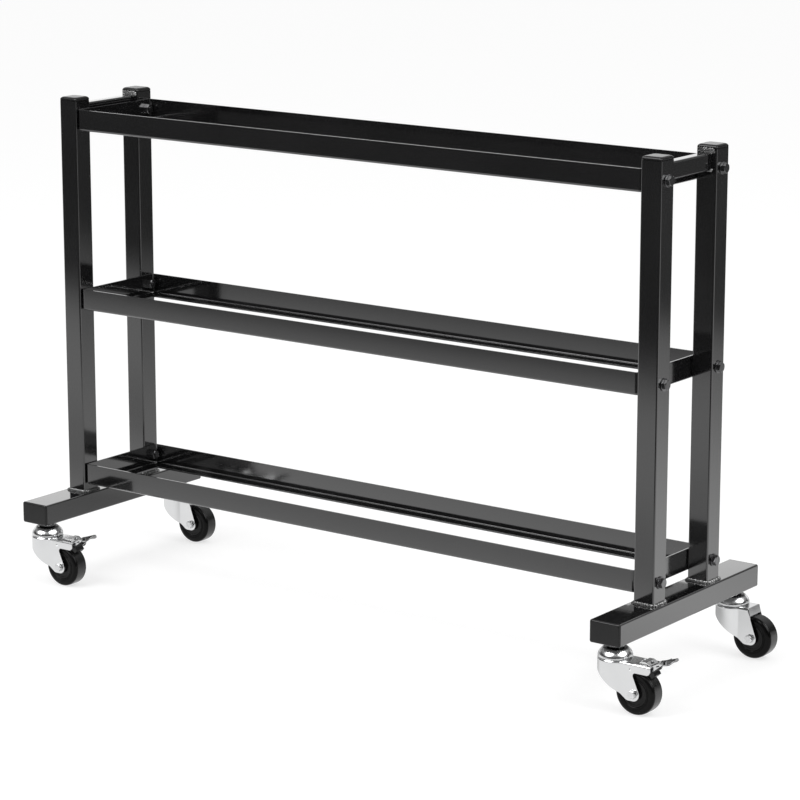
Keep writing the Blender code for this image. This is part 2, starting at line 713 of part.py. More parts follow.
def shoe_mesh():
    """The brake shoe under the pedal, its face curved to the tyre, about the pedal pin's axis."""
    top = CROWN_TOP - LEVER_DIP_DROP - LEVER_SHEET - SEAT_GAP
    outline = []
    for step in range(BEND_STEPS + 1):
        angle = SHOE_FIRST_ANGLE + (SHOE_LAST_ANGLE - SHOE_FIRST_ANGLE) * step / BEND_STEPS
        reach = WHEEL_RADIUS + SHOE_GAP
        outline.append(Vector((TRAIL + reach * math.cos(angle), AXLE_HEIGHT + reach * math.sin(angle))))
    shoulder = LEVER_PIN_HEIGHT - SHOE_SHOULDER_DROP
    neck_start = LEVER_DIP_X - LEVER_SHEET
    outline.append(Vector((neck_start, shoulder)))
    outline.append(Vector((neck_start, top)))
    outline.append(Vector((neck_start + SHOE_NECK_WIDTH, top)))
    outline.append(Vector((neck_start + SHOE_NECK_WIDTH, shoulder)))
    outline.append(Vector((SHOE_HEEL_X, outline[0].y + SHOE_HEEL_RISE)))
    shoe = side_prism(outline, -SHOE_WIDTH / 2, SHOE_WIDTH / 2)
    return moved(shoe, Matrix.Translation((-LEVER_PIN_X, 0, -LEVER_PIN_HEIGHT)))


def build_side_frame(side, sign, cart, finish):
    """One welded side frame: a foot, two uprights and the cross tube between their tops."""
    x = sign * SIDE_FRAME_X
    place(f"{side}_foot", finish["foot"], finish["powder"], cart, (x, 0, CASTER_HEIGHT))
    for end, end_sign in (("front", -1), ("rear", 1)):
        y = end_sign * UPRIGHT_Y
        upright_base = FOOT_TOP + SEAT_GAP
        place(f"{side}_{end}_upright", finish["upright"], finish["powder"], cart, (x, y, upright_base))
        cap_place = (x, y, upright_base + UPRIGHT_LENGTH)
        place(f"{side}_{end}_upright_cap", finish["upright_cap"], finish["cap"], cart, cap_place)
        foot_end = (x, end_sign * FOOT_LENGTH / 2, CASTER_HEIGHT + FOOT_HEIGHT / 2)
        face_out = (-end_sign * math.pi / 2, 0, 0)
        place(f"{side}_{end}_foot_cap", finish["foot_cap"], finish["cap"], cart, foot_end, face_out)
    cross_length = FRAME_DEPTH - 2 * UPRIGHT_SIZE - 2 * SEAT_GAP
    cross_height = FOOT_TOP + SEAT_GAP + UPRIGHT_LENGTH - CROSS_DROP - CROSS_HEIGHT / 2
    cross = tube(CROSS_WIDTH, CROSS_HEIGHT, CROSS_WALL, cross_length)
    start = (x, -cross_length / 2, cross_height)
    place(f"{side}_cross_tube", cross, finish["powder"], cart, start, (-math.pi / 2, 0, 0))


def build_shelf(level, cart, finish):
    """One shelf, its four sides and its four bolts."""
    shelf = SHELF_NAMES[level]
    base = (0, 0, shelf_top(level) - FLANGE_HEIGHT)
    place(f"{shelf}_shelf_front_rail", finish["rail"], finish["powder"], cart, base)
    place(f"{shelf}_shelf_rear_rail", finish["rail"], finish["powder"], cart, base, (0, 0, math.pi))
    for side, side_sign in (("left", -1), ("right", 1)):
        face_out = (0, 0, side_sign * math.pi / 2)
        place(f"{shelf}_shelf_{side}_end", finish["shelf_end"], finish["powder"], cart, base, face_out)
        for end, end_sign in (("front", -1), ("rear", 1)):
            name = f"{shelf}_shelf_{side}_{end}_bolt"
            spot = (side_sign * FRAME_WIDTH / 2, end_sign * UPRIGHT_Y, bolt_height(level))
            place(name, finish["bolt"], finish["steel"], cart, spot, (0, side_sign * math.pi / 2, 0))


def build_caster(corner, place_in_plan, braked, cart, finish):
    """One caster under a foot: the stem stays still, the fork swivels, the wheel turns in the fork."""
    mount = marker(f"{corner}_caster", cart, (*place_in_plan, CASTER_HEIGHT))
    place(f"{corner}_caster_stem", finish["stem"], finish["zinc"], mount)
    swivel = marker(f"{corner}_swivel", mount, (0, 0, 0))
    fork = finish["braked_fork"] if braked else finish["plain_fork"]
    place(f"{corner}_caster_fork", fork, finish["zinc"], swivel)
    axle_centre = (TRAIL, 0, AXLE_HEIGHT)
    across = (math.pi / 2, 0, 0)
    place(f"{corner}_caster_axle", finish["axle"], finish["zinc"], swivel, axle_centre, across)
    place(f"{corner}_caster_wheel", finish["wheel"], finish["tyre"], swivel, axle_centre, across)
    if braked:
        pin = (LEVER_PIN_X, 0, LEVER_PIN_HEIGHT)
        place(f"{corner}_brake_pedal", finish["pedal"], finish["zinc"], swivel, pin)
        place(f"{corner}_brake_shoe", finish["shoe"], finish["cap"], swivel, pin)


def shared_finish():
    """The materials, and the meshes that repeated pieces share."""
    return {
        "powder": new_material("black_powder_coat", (0.020, 0.020, 0.021), 0.22, 0.0),
        "cap": new_material("black_plastic", (0.025, 0.025, 0.026), 0.45, 0.0),
        "steel": new_material("black_zinc", (0.06, 0.06, 0.06), 0.30, 0.9),
        "zinc": new_material("bright_zinc", (0.72, 0.73, 0.74), 0.22, 1.0),
        "tyre": new_material("black_rubber", (0.022, 0.022, 0.022), 0.5, 0.0),
        "foot": foot_mesh(),
        "upright": upright_mesh(),
        "upright_cap": cap_mesh(
            (UPRIGHT_SIZE, UPRIGHT_SIZE), UPRIGHT_WALL, UPRIGHT_CAP_RIM, UPRIGHT_CAP_DOME
        ),
        "foot_cap": cap_mesh((FOOT_WIDTH, FOOT_HEIGHT), FOOT_WALL, FOOT_CAP_RIM, FOOT_CAP_DOME),
        "rail": shelf_member_mesh(SHELF_LENGTH, SHELF_DEPTH / 2),
        "shelf_end": shelf_end_mesh(),
        "bolt": bolt_mesh(),
        "stem": stem_mesh(),
        "plain_fork": fork_mesh(braked=False),
        "braked_fork": fork_mesh(braked=True),
        "axle": axle_mesh(),
        "wheel": wheel_mesh(),
        "pedal": pedal_mesh(),
        "shoe": shoe_mesh(),
    }


def build_cart():
    """The whole cart."""
    clear_scene()
    finish = shared_finish()
    cart = marker("cart", None, (FRAME_CENTRE_X, 0, 0))
    for side, side_sign in (("left", -1), ("right", 1)):
        build_side_frame(side, side_sign, cart, finish)
        for end, end_sign in (("front", -1), ("rear", 1)):
            spot = (side_sign * SIDE_FRAME_X, end_sign * KINGPIN_Y)
            build_caster(f"{side}_{end}", spot, end == "front", cart, finish)
    for level in range(len(SHELF_NAMES)):
        build_shelf(level, cart, finish)


build_cart()
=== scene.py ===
"""Three-tier cart for medicine balls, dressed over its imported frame.

Lengths are in metres. X runs along the cart, Y from its front to its rear, and Z up from the floor.
"""

from math import acos, atan2, copysign, cos, pi, radians, sin, sqrt, tan, tau

import bmesh
import bpy
from mathutils import Matrix, Vector

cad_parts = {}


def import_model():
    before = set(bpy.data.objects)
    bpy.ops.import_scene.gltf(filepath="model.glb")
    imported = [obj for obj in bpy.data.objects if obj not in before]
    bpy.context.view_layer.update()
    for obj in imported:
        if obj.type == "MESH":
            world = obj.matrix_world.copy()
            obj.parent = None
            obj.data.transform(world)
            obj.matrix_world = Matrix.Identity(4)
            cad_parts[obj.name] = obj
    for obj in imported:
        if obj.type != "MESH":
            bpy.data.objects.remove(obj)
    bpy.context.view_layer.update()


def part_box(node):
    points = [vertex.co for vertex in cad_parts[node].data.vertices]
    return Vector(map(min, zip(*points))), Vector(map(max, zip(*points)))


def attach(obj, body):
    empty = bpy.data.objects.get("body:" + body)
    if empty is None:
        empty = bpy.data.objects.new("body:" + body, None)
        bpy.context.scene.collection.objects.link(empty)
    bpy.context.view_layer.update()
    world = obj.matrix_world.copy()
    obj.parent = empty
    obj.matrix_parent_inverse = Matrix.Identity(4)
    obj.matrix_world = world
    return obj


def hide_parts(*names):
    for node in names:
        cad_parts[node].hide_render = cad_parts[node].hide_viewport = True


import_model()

SIDES = (("left", -1), ("right", 1))
ENDS = (("front", -1), ("rear", 1))
SHELVES = ("bottom", "middle", "top")

# Tubes and caps
SEAT_GAP = 0.0003
TUBE_CORNER = 0.003
UPRIGHT_SIZE = 0.040
UPRIGHT_WALL = 0.002
FOOT_WIDTH = 0.060
FOOT_HEIGHT = 0.040
FOOT_WALL = 0.0025
CROSS_WIDTH = 0.020
CROSS_HEIGHT = 0.030
CROSS_WALL = 0.0015
PLUG_PLAY = 0.0003
PLUG_DEPTH = 0.014
PLUG_RINGS = (
    (-PLUG_DEPTH, 0.0006), (-PLUG_DEPTH + 0.001, 0), (-0.009, 0), (-0.0085, 0.0006),
    (-0.007, 0.0006), (-0.0065, 0), (SEAT_GAP, 0),
)
RIM_EASE = 0.0003
UPRIGHT_CAP = (0.002, 0.005)
FOOT_CAP = (0.0008, 0.0032)

# Shelf angle
FLANGE_HEIGHT = 0.040
LEDGE_WIDTH = 0.030
ANGLE_THICKNESS = 0.003
ANGLE_BEND = 0.0045
SHELF_CORNER = 0.007
BOLT_HOLE = 0.011

# Bolts and welds
WASHER_ROUND = 0.0004
HEAD_SLOPE = 1.7
THREAD_ROOT = 0.45
THREAD_RIDGE = 0.36
WELD_CORNER = 0.002
OVERLAY_WIDTH = 0.030
OVERLAY_RISE = 0.0012
OVERLAY_LIFT = 0.001

# Casters, measured from the kingpin's axis and from the foot's underside
STEM_DIAMETER = 0.012
STEM_REACH = 0.024
STEM_NUT_SIZE = 0.019
STEM_NUT_HEIGHT = 0.010
STEM_CHAMFER = 0.0012
THREAD_DEPTH = 0.0006
THREAD_PITCH = 0.00175
COLLAR_SIZE = 0.030
COLLAR_HEIGHT = 0.0095
RACEWAY_RADIUS = 0.030
RACEWAY_TOP_RADIUS = 0.020
RACEWAY_HEIGHT = 0.0168
RACEWAY_LIP = 0.0016
RACEWAY_START = radians(50.0)
RACEWAY_EDGE = ((0, 0.0006), (0.0005, 0.0001), (0.0012, 0))
RACE_GAP = 0.0004
RIVET_RADIUS = 0.0095
RIVET_ROUND = ((0.0094, 0.0009), (0.0086, 0.0018), (0.0070, 0.0024), (0.0045, 0.0025))
SHEET = 0.0025
SHEET_BEND = 0.0038
RIM_PROUD = 0.0008
RIM_DEPTH = 0.0052
CROWN_RADIUS = 0.031
NECK_FILLET = 0.006
CROWN_SKIRT = 0.015
TRAIL = 0.048
LOBE = 0.012
TOE_FILLET = 0.010
TOE_X = 0.036
PLAIN_REACH = 0.0415
HOOD_LEAN = 0.0034
HOOD_CLEARANCE = 0.002
ARM_REACH = 0.0805
ARM_DEPTH = 0.016
ARM_TIP = 0.007
NOTCH_X = 0.0445
NOTCH_RADIUS = 0.005
CROWN_TOP = -(SEAT_GAP + COLLAR_HEIGHT + RACEWAY_HEIGHT + RACE_GAP)
CROWN_UNDERSIDE = CROWN_TOP - SHEET
WHEEL_RADIUS = 0.0381
AXLE_HEIGHT = CROWN_UNDERSIDE - 0.0129 - WHEEL_RADIUS
HALF_TYRE = 0.016
TREAD_DEPTH = 0.0010
HALF_TREAD = HALF_TYRE - 0.0053
HALF_HUB = 0.0185
HUB_RADIUS = 0.009
CORE_RADIUS = 0.0235
WEB_RECESS = 0.0015
HALF_INSIDE = HALF_HUB + 0.0005
HALF_OUTSIDE = HALF_INSIDE + SHEET
AXLE_RADIUS = 0.004
AXLE_HEAD = 0.013
AXLE_HEAD_HEIGHT = 0.0053
AXLE_NUT_HEIGHT = 0.0065
AXLE_DISH = ((0.0035, 0.0002), (0.0048, 0))
AXLE_TIP = ((0.0043, 0), (0.0040, 0.0008), (0.0039, 0.0003), (0.0033, 0))
PIN_PLAY = 0.0001

# Brake pedal and shoe
PIN_X = 0.0422
PIN_HEIGHT = CROWN_UNDERSIDE - 0.008
PIN_RADIUS = 0.002
PIN_INSET = 0.0022
LEVER_WIDTH = 0.028
LEVER_SHEET = 0.002
NOSE = 0.0036
NOSE_ROUND = 0.0032
CHIN_LENGTH = 0.0072
HUMP_FRONT = 0.018
HUMP_BACK = 0.0072
HUMP_RISE = 0.0040
HUMP_EDGE = 0.0012
PAD_RISE = 0.0055
PAD_SAG = 0.0072
PAD_SWEEP = 1.6
DIP_X = 0.076
DIP_DROP = 0.0005
TAIL_DEPTH = 0.004
SLOT_START = 0.049
LEVER_END_X = 0.102
SLOT_SIZE = (0.008, 0.0025, 0.0011)
SLOT_DROP = 0.006
WINDOW = (0.0045, 0.009, 0.0012)
LEVER_SIDE_GAP = 0.0015
PAD_CENTRE_X = 0.106
PAD_LENGTH = 0.032
PAD_WIDTH = 0.025
PAD_TILT = radians(18.0)
PAD_REACH = PAD_CENTRE_X + PAD_LENGTH / 2 * cos(PAD_TILT)
SHOE_WIDTH = 0.021
SHOE_GAP = 0.0045
SHOE_ANGLES = (radians(44.5), radians(62.0))
SHOE_HEEL = (0.0842, 0.0058)
SHOE_NECK = 0.006
SHOE_SHOULDER = PIN_HEIGHT - 0.0015

# Facets, hexagons and broken edges
BEND_STEPS = 6
ROUND_SIDES = 72
CREASE = radians(32.0)
HEXAGON_FACE = 0.475
CHAMFER = radians(30.0)
ANGLE_EDGE = 0.0003
FORK_EDGE = 0.0002
PEDAL_EDGE = 0.00015
SHOE_EDGE = 0.0004


def middle(node):
    """The middle of a frame node's box."""
    low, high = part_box(node)
    return (low + high) / 2


# Outlines and meshes


def rounded(corners, steps=BEND_STEPS):
    """A closed outline through (x, y, radius) corners, each rounded by an arc of its own radius."""
    outline = []
    for index, (x, y, radius) in enumerate(corners):
        corner = Vector((x, y))
        if radius <= 0:
            outline.append(corner)
            continue
        before = (Vector(corners[index - 1][:2]) - corner).normalized()
        after = (Vector(corners[(index + 1) % len(corners)][:2]) - corner).normalized()
        half = before.angle(after) / 2
        centre = corner + (before + after).normalized() * radius / sin(half)
        start = corner + before * radius / tan(half) - centre
        end = corner + after * radius / tan(half) - centre
        sweep = start.angle_signed(end)
        for step in range(steps + 1):
            spoke = start.copy()
            spoke.rotate(Matrix.Rotation(-sweep * step / steps, 2))
            outline.append(centre + spoke)
    return outline


def rectangle(width, depth, radius):
    """A rectangle's outline about the origin, with round corners."""
    corners = ((-1, -1), (1, -1), (1, 1), (-1, 1))
    return rounded([(sx * width / 2, sy * depth / 2, radius) for sx, sy in corners])


def arc(start, end, steps=BEND_STEPS):
    """The cosine and sine of every turn from one angle to another, in even steps."""
    turns = [start + (end - start) * step / steps for step in range(steps + 1)]
    return [(cos(turn), sin(turn)) for turn in turns]


def circle(radius, sides=ROUND_SIDES):
    """A circle's outline about the origin."""
    return [Vector((radius * x, radius * y)) for x, y in arc(0, tau, sides)[:-1]]


def hexagon(size, limit, sides=ROUND_SIDES):
    """A hexagon's outline, size across its flats, its corners turned down to the limit radius."""
    outline = []
    for side in range(sides):
        turn = 2 * pi * side / sides
        off_flat = turn % (pi / 3) - pi / 6
        reach = min(size / 2 / cos(off_flat), limit)
        outline.append(Vector((reach * cos(turn), reach * sin(turn))))
    return outline


def level(outline, height):
    """The outline as a ring of points at one height."""
    return [Vector((point.x, point.y, height)) for point in outline]


def chamfered_hexagon(size, low, high, ends):
    """Rings up a hexagon from low to high. ends tells whether its lower and upper corners are turned."""
    corner = size / sqrt(3)
    face = HEXAGON_FACE * size
    limits = [face + (corner - face) * step / 3 for step in range(4)]
    turned_corners = [((limit - face) * tan(CHAMFER), limit) for limit in limits]
    lower, upper = (turned_corners if end else [(0, corner)] for end in ends)
    rings = [level(hexagon(size, limit), low + rise) for rise, limit in lower]
    return rings + [level(hexagon(size, limit), high - rise) for rise, limit in reversed(upper)]


def loft(rings, hollow=False):
    """A mesh skinned over rings of equally many points: capped at both ends, or closed round a hollow."""
    bm = bmesh.new()
    rows = [[bm.verts.new(point) for point in ring] for ring in rings]
    pairs = list(zip(rows, rows[1:]))
    if hollow:
        pairs.append((rows[-1], rows[0]))
    else:
        bm.faces.new(reversed(rows[0]))
        bm.faces.new(rows[-1])
    for low, high in pairs:
        for index in range(len(low)):
            following = (index + 1) % len(low)
            bm.faces.new((low[index], low[following], high[following], high[index]))
    bmesh.ops.remove_doubles(bm, verts=bm.verts, dist=0.000005)
    bmesh.ops.recalc_face_normals(bm, faces=bm.faces)
    mesh = bpy.data.meshes.new("piece")
    bm.to_mesh(mesh)
    bm.free()
    return mesh


def turned(profile):
    """Round rings about Z through (radius, height) points."""
    return [level(circle(radius), height) for radius, height in profile]


def prism(outline, low, high):
    """An outline extruded along Z."""
    return loft([level(outline, low), level(outline, high)])


def side_prism(outline, low, high):
    """An outline drawn in X and Z, extruded along Y."""
    return loft([[Vector((point.x, y, point.y)) for point in outline] for y in (low, high)])


def at(x, y, z):
    """A shift to a point."""
    return Matrix.Translation(Vector((x, y, z)))


def moved(mesh, matrix):
    """The mesh, turned or shifted by a matrix."""
    mesh.transform(matrix)
    return mesh


def rod(radius, low, high, axis, centre):
    """A round rod from low to high along X or Y, through the centre."""
    turn = Matrix.Rotation(pi / 2, 4, "Y") if axis == "X" else Matrix.Rotation(-pi / 2, 4, "X")
    return moved(prism(circle(radius, 24), low, high), Matrix.Translation(centre) @ turn)


def scratch(mesh):
    """A passing object that holds a mesh while modifiers work on it."""
    obj = bpy.data.objects.new("scratch", mesh)
    bpy.context.scene.collection.objects.link(obj)
    return obj


def evaluated(obj):
    """The mesh that an object's modifiers make. The object goes."""
    result = bpy.data.meshes.new_from_object(obj.evaluated_get(bpy.context.evaluated_depsgraph_get()))
    bpy.data.objects.remove(obj, do_unlink=True)
    return result


def boolean(base, tool, operation):
    """The mesh that the base makes with the tool."""
    other = scratch(tool)
    body = scratch(base)
    modifier = body.modifiers.new("boolean", "BOOLEAN")
    modifier.operation = operation
    modifier.solver = "EXACT"
    modifier.object = other
    result = evaluated(body)
    bpy.data.objects.remove(other, do_unlink=True)
    return result


def cut(base, *tools):
    """The base with every tool taken out of it."""
    for tool in tools:
        base = boolean(base, tool, "DIFFERENCE")
    return base


def joined(base, *others):
    """The base grown together with the other meshes."""
    for other in others:
        base = boolean(base, other, "UNION")
    return base


def finished(mesh, edge=0.0):
    """The mesh with its sharp edges broken by an arc, and its flats kept flat in the light."""
    mesh.shade_smooth()
    mesh.set_sharp_from_angle(angle=CREASE)
    obj = scratch(mesh)
    if edge > 0:
        bevel = obj.modifiers.new("edges", "BEVEL")
        bevel.width = edge
        bevel.segments = 2
        bevel.limit_method = "ANGLE"
        bevel.angle_limit = CREASE
        bevel.use_clamp_overlap = True
    normals = obj.modifiers.new("flats", "WEIGHTED_NORMAL")
    normals.keep_sharp = edge <= 0
    return evaluated(obj)


def place(name, mesh, coat, nodes, where=Matrix.Identity(4), body="cart_frame"):
    """One piece in its place, in its finish, riding on its body and standing for its frame nodes."""
    mesh = moved(mesh.copy(), where)
    mesh.materials.clear()
    mesh.materials.append(coat)
    piece = bpy.data.objects.new(name, mesh)
    bpy.context.scene.collection.objects.link(piece)
    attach(piece, body)
    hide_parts(*nodes)


# Finishes


def fill(tree, node, sockets):
    """The node, with its sockets set to values or linked to other sockets."""
    for key, value in sockets.items():
        if isinstance(value, bpy.types.NodeSocket):
            tree.links.new(value, node.inputs[key])
        else:
            node.inputs[key].default_value = value
    return node


def add(tree, kind, sockets=None, **settings):
    """A new node in a tree. Its kind leaves out the family that Blender's name for it starts with."""
    families = ("ShaderNode", "GeometryNode", "FunctionNode", "NodeGroup")
    family = next(family for family in families if hasattr(bpy.types, family + kind))
    node = tree.nodes.new(family + kind)
    for name, value in settings.items():
        setattr(node, name, value)
    return fill(tree, node, sockets or {})


def out(tree, kind, sockets=None, **settings):
    """The first output of a new node."""
    return add(tree, kind, sockets, **settings).outputs[0]


def effect(name, inputs, outputs):
    """An empty shader group with named number inputs and outputs, and its two end nodes."""
    group = bpy.data.node_groups.new(name, "ShaderNodeTree")
    for label, value in inputs.items():
        socket = group.interface.new_socket(label, in_out="INPUT", socket_type="NodeSocketFloat")
        socket.default_value = value
    for label in outputs:
        group.interface.new_socket(label, in_out="OUTPUT", socket_type="NodeSocketFloat")
    return group, add(group, "Input"), add(group, "Output")


def math_node(tree, operation, first, second=0.5, third=0.0):
    """The result of one sum on numbers or sockets."""
    return out(tree, "Math", {0: first, 1: second, 2: third}, operation=operation)


def times(tree, first, *others):
    """The product of numbers or sockets."""
    for other in others:
        first = math_node(tree, "MULTIPLY", first, other)
    return first


def spread(tree, value, span, levels=(0.0, 1.0), curve="LINEAR"):
    """A change from one level to another while a value crosses its span."""
    sockets = {0: value, 1: span[0], 2: span[1], 3: levels[0], 4: levels[1]}
    return out(tree, "MapRange", sockets, interpolation_type=curve)


def mixed_colour(tree, share, first, second):
    """A colour between two others."""
    return add(tree, "Mix", {0: share, 6: first, 7: second}, data_type="RGBA").outputs[2]


def mixed_number(tree, share, first, second):
    """A number between two others."""
    return out(tree, "Mix", {0: share, 2: first, 3: second}, data_type="FLOAT")


def object_spot(tree):
    """Where a point lies on its piece, in the cart's own measures at rest."""
    return add(tree, "TexCoord").outputs["Object"]


def noise(tree, scale, detail, stretch=None):
    """Noise over the piece's own coordinates, stretched along the axes where a grain runs."""
    where = object_spot(tree)
    if stretch:
        where = out(tree, "Mapping", {"Vector": where, "Scale": stretch})
    return out(tree, "TexNoise", {"Vector": where, "Scale": scale, "Detail": detail})


def peel_effect():
    """The skin of a sprayed or moulded surface: a fine ripple, its tooth, and slow clouds of haze."""
    group, given, result = effect("peel", {"Ripple": 330.0, "Tooth": 1900.0}, ("Height", "Haze"))
    ripple = noise(group, given.outputs["Ripple"], 1.5)
    tooth = noise(group, given.outputs["Tooth"], 2.0)
    haze = spread(group, noise(group, 7.0, 3.0), (0.35, 0.68))
    fill(group, result, {"Height": math_node(group, "MULTIPLY_ADD", tooth, 0.22, ripple), "Haze": haze})
    return group


def wear_effect():
    """Specks of dust and faint rubs from handling, more of them on faces that look up."""
    group, given, result = effect("wear", {"Amount": 0.5}, ("Dust", "Rub"))
    amount = given.outputs["Amount"]
    upward = add(group, "SeparateXYZ", {0: add(group, "NewGeometry").outputs["Normal"]}).outputs[2]
    settle = spread(group, upward, (-0.2, 1.0), (0.25, 1.0))
    specks = spread(group, noise(group, 620.0, 3.0), (0.62, 0.74))
    clouds = spread(group, noise(group, 13.0, 2.0), (0.42, 0.7))
    rub = spread(group, noise(group, 46.0, 4.0, (1.0, 1.0, 5.0)), (0.56, 0.72))
    dust = times(group, specks, clouds, settle, amount)
    fill(group, result, {"Dust": dust, "Rub": times(group, rub, amount)})
    return group


def grain_effect():
    """Plated or rolled metal: a fine drawn grain, its spangle, and slow changes of brightness."""
    group, given, result = effect("grain", {"Grain": 900.0, "Spangle": 85.0}, ("Height", "Haze"))
    drawn = noise(group, given.outputs["Grain"], 3.0, (1.0, 1.0, 0.18))
    spangle = noise(group, given.outputs["Spangle"], 2.0)
    haze = spread(group, spangle, (0.33, 0.67))
    fill(group, result, {"Height": math_node(group, "MULTIPLY_ADD", spangle, 0.8, drawn), "Haze": haze})
    return group


def finish(
    name, skin, colours, roughness, bump,
    metallic=0.0, specular=0.5, coat=0.0, wear=0.3, scales=None, painted_shade_band=None,
):
    """A finish on the principled shader: two close colours and roughnesses mixed by haze, with dust and rubs.

    Its last argument paints shade into the colour: darker with height, from one height above the floor to
    another, by a share.
    """
    material = bpy.data.materials.new(name)
    material.use_nodes = True
    tree = material.node_tree
    surface = add(tree, "Group", scales, node_tree=skin)
    marks = add(tree, "Group", {"Amount": wear}, node_tree=WEAR)
    haze = surface.outputs["Haze"]
    smooth, rough = roughness
    colour = mixed_colour(tree, haze, *((*shade, 1.0) for shade in colours))
    colour = mixed_colour(tree, marks.outputs["Dust"], colour, DUST)
    # Painted shade: the colour darkens towards the top of the piece.
    if painted_shade_band:
        low, high, share = painted_shade_band
        height = add(tree, "SeparateXYZ", {0: object_spot(tree)}).outputs[2]
        colour = mixed_colour(tree, spread(tree, height, (low, high), (0.0, share)), colour, PAINTED_SHADE_COLOUR)
    gloss = spread(tree, haze, (0.0, 1.0), roughness)
    relief = {"Strength": bump[0], "Distance": bump[1], "Height": surface.outputs["Height"]}
    fill(tree, tree.nodes["Principled BSDF"], {
        "Base Color": colour,
        "Metallic": metallic,
        "Roughness": math_node(tree, "MULTIPLY_ADD", marks.outputs["Rub"], rough - smooth, gloss),
        "Specular IOR Level": specular,
        "Coat Weight": coat,
        "Coat Roughness": smooth,
        "Normal": out(tree, "Bump", relief),
    })
    return material


DUST = (0.34, 0.335, 0.325, 1.0)
# The colour of painted shade.
PAINTED_SHADE_COLOUR = (0.03, 0.03, 0.03, 1.0)
PEEL = peel_effect()
GRAIN = grain_effect()
WEAR = wear_effect()
POWDER = finish(
    "gloss_powder", PEEL, ((0.0045, 0.0045, 0.0048), (0.0075, 0.0075, 0.0078)),
    (0.085, 0.13), (0.05, 0.00012), specular=1.0, coat=1.0, wear=0.10,
)
# Painted sheen: the weld wears the frame's black coat, but its colour is a lighter, part-metallic grey so
# that it throws brighter glints.
WELD_PAINTED_SHEEN = finish(
    "coated_weld_painted_sheen", PEEL, ((0.10, 0.10, 0.10), (0.24, 0.24, 0.24)), (0.05, 0.11),
    (0.30, 0.0003), metallic=0.45, specular=1.0, coat=1.0, wear=0.2, scales={"Ripple": 700.0},
)
CAP_PLASTIC = finish(
    "cap_plastic", PEEL, ((0.007, 0.007, 0.007), (0.012, 0.012, 0.012)), (0.16, 0.27),
    (0.20, 0.0001), specular=0.36, wear=0.20, scales={"Ripple": 900.0},
)
BLACK_ZINC = finish(
    "black_zinc_plate", GRAIN, ((0.055, 0.055, 0.057), (0.095, 0.095, 0.098)), (0.04, 0.09),
    (0.12, 0.00008), metallic=0.80, specular=1.0, coat=1.0, wear=0.2,
)
ZINC = finish(
    "bright_zinc_plate", GRAIN, ((0.765, 0.77, 0.775), (0.79, 0.795, 0.80)), (0.10, 0.15),
    (0.04, 0.00006), metallic=1.0, wear=0.04, scales={"Spangle": 40.0},
)
# Zinc with painted shade: the raceway darkens at the top of its dome under the collar, the pedal at the top
# of its pad.
SHADE_PAINTED_RACEWAY_ZINC, SHADE_PAINTED_PEDAL_ZINC = (
    finish(
        f"{part}_zinc_plate", GRAIN, ((0.74, 0.745, 0.75), (0.78, 0.785, 0.79)), (0.18, 0.25),
        (0.05, 0.00006), metallic=1.0, wear=0.05, scales={"Spangle": 60.0}, painted_shade_band=painted_shade_band,
    )
    for part, painted_shade_band in (("raceway", (0.1060, 0.1083, 0.93)), ("pedal", (0.0968, 0.0990, 0.68)))
)
BOLT_ZINC = finish(
    "bolt_zinc_plate", GRAIN, ((0.80, 0.805, 0.81), (0.84, 0.845, 0.85)), (0.36, 0.46),
    (0.05, 0.00006), metallic=1.0, wear=0.05, scales={"Spangle": 60.0},
)
RUBBER = finish(
    "tyre_rubber", PEEL, ((0.0030, 0.0030, 0.0030), (0.0050, 0.0050, 0.0050)), (0.14, 0.24),
    (0.15, 0.0001), specular=0.12, wear=0.20, scales={"Ripple": 1300.0},
)
TREAD = finish(
    "tread_rubber", PEEL, ((0.0045, 0.0045, 0.0045), (0.0085, 0.0085, 0.0085)), (0.20, 0.30),
    (0.15, 0.0001), specular=0.60, coat=0.1, wear=0.25, scales={"Ripple": 1100.0},
)
CORE_PLASTIC = finish(
    "wheel_core", PEEL, ((0.0035, 0.0035, 0.0035), (0.006, 0.006, 0.006)), (0.07, 0.14),
    (0.12, 0.0001), specular=0.22, wear=0.15, scales={"Ripple": 800.0},
)


# Side frames


def tube(width, depth, wall, length):
    """An open rectangular tube along Z from its origin."""
    outside = rectangle(width, depth, TUBE_CORNER)
    inside = rectangle(width - 2 * wall, depth - 2 * wall, max(TUBE_CORNER - wall, wall / 4))
    rings = [level(outside, 0), level(outside, length), level(inside, length), level(inside, 0)]
    return loft(rings, hollow=True)


def cap(width, depth, wall, rim, dome):
    """A moulded cap for a tube's end at height 0: ribbed plug below, rim and rounded top above."""
    rings = []
    for height, slack in PLUG_RINGS:
        inset = 2 * (wall + PLUG_PLAY + slack)
        rings.append(level(rectangle(width - inset, depth - inset, PLUG_PLAY), height))
    seat = rectangle(width - 2 * RIM_EASE, depth - 2 * RIM_EASE, TUBE_CORNER - RIM_EASE)
    rings.append(level(seat, SEAT_GAP))
    rings.append(level(rectangle(width, depth, TUBE_CORNER), SEAT_GAP + RIM_EASE))
    for x, y in arc(0, pi / 2):
        inset = dome * (1 - x)
        outline = rectangle(width - 2 * inset, depth - 2 * inset, TUBE_CORNER + inset / 2)
        rings.append(level(outline, rim + dome * y))
    return finished(loft(rings))


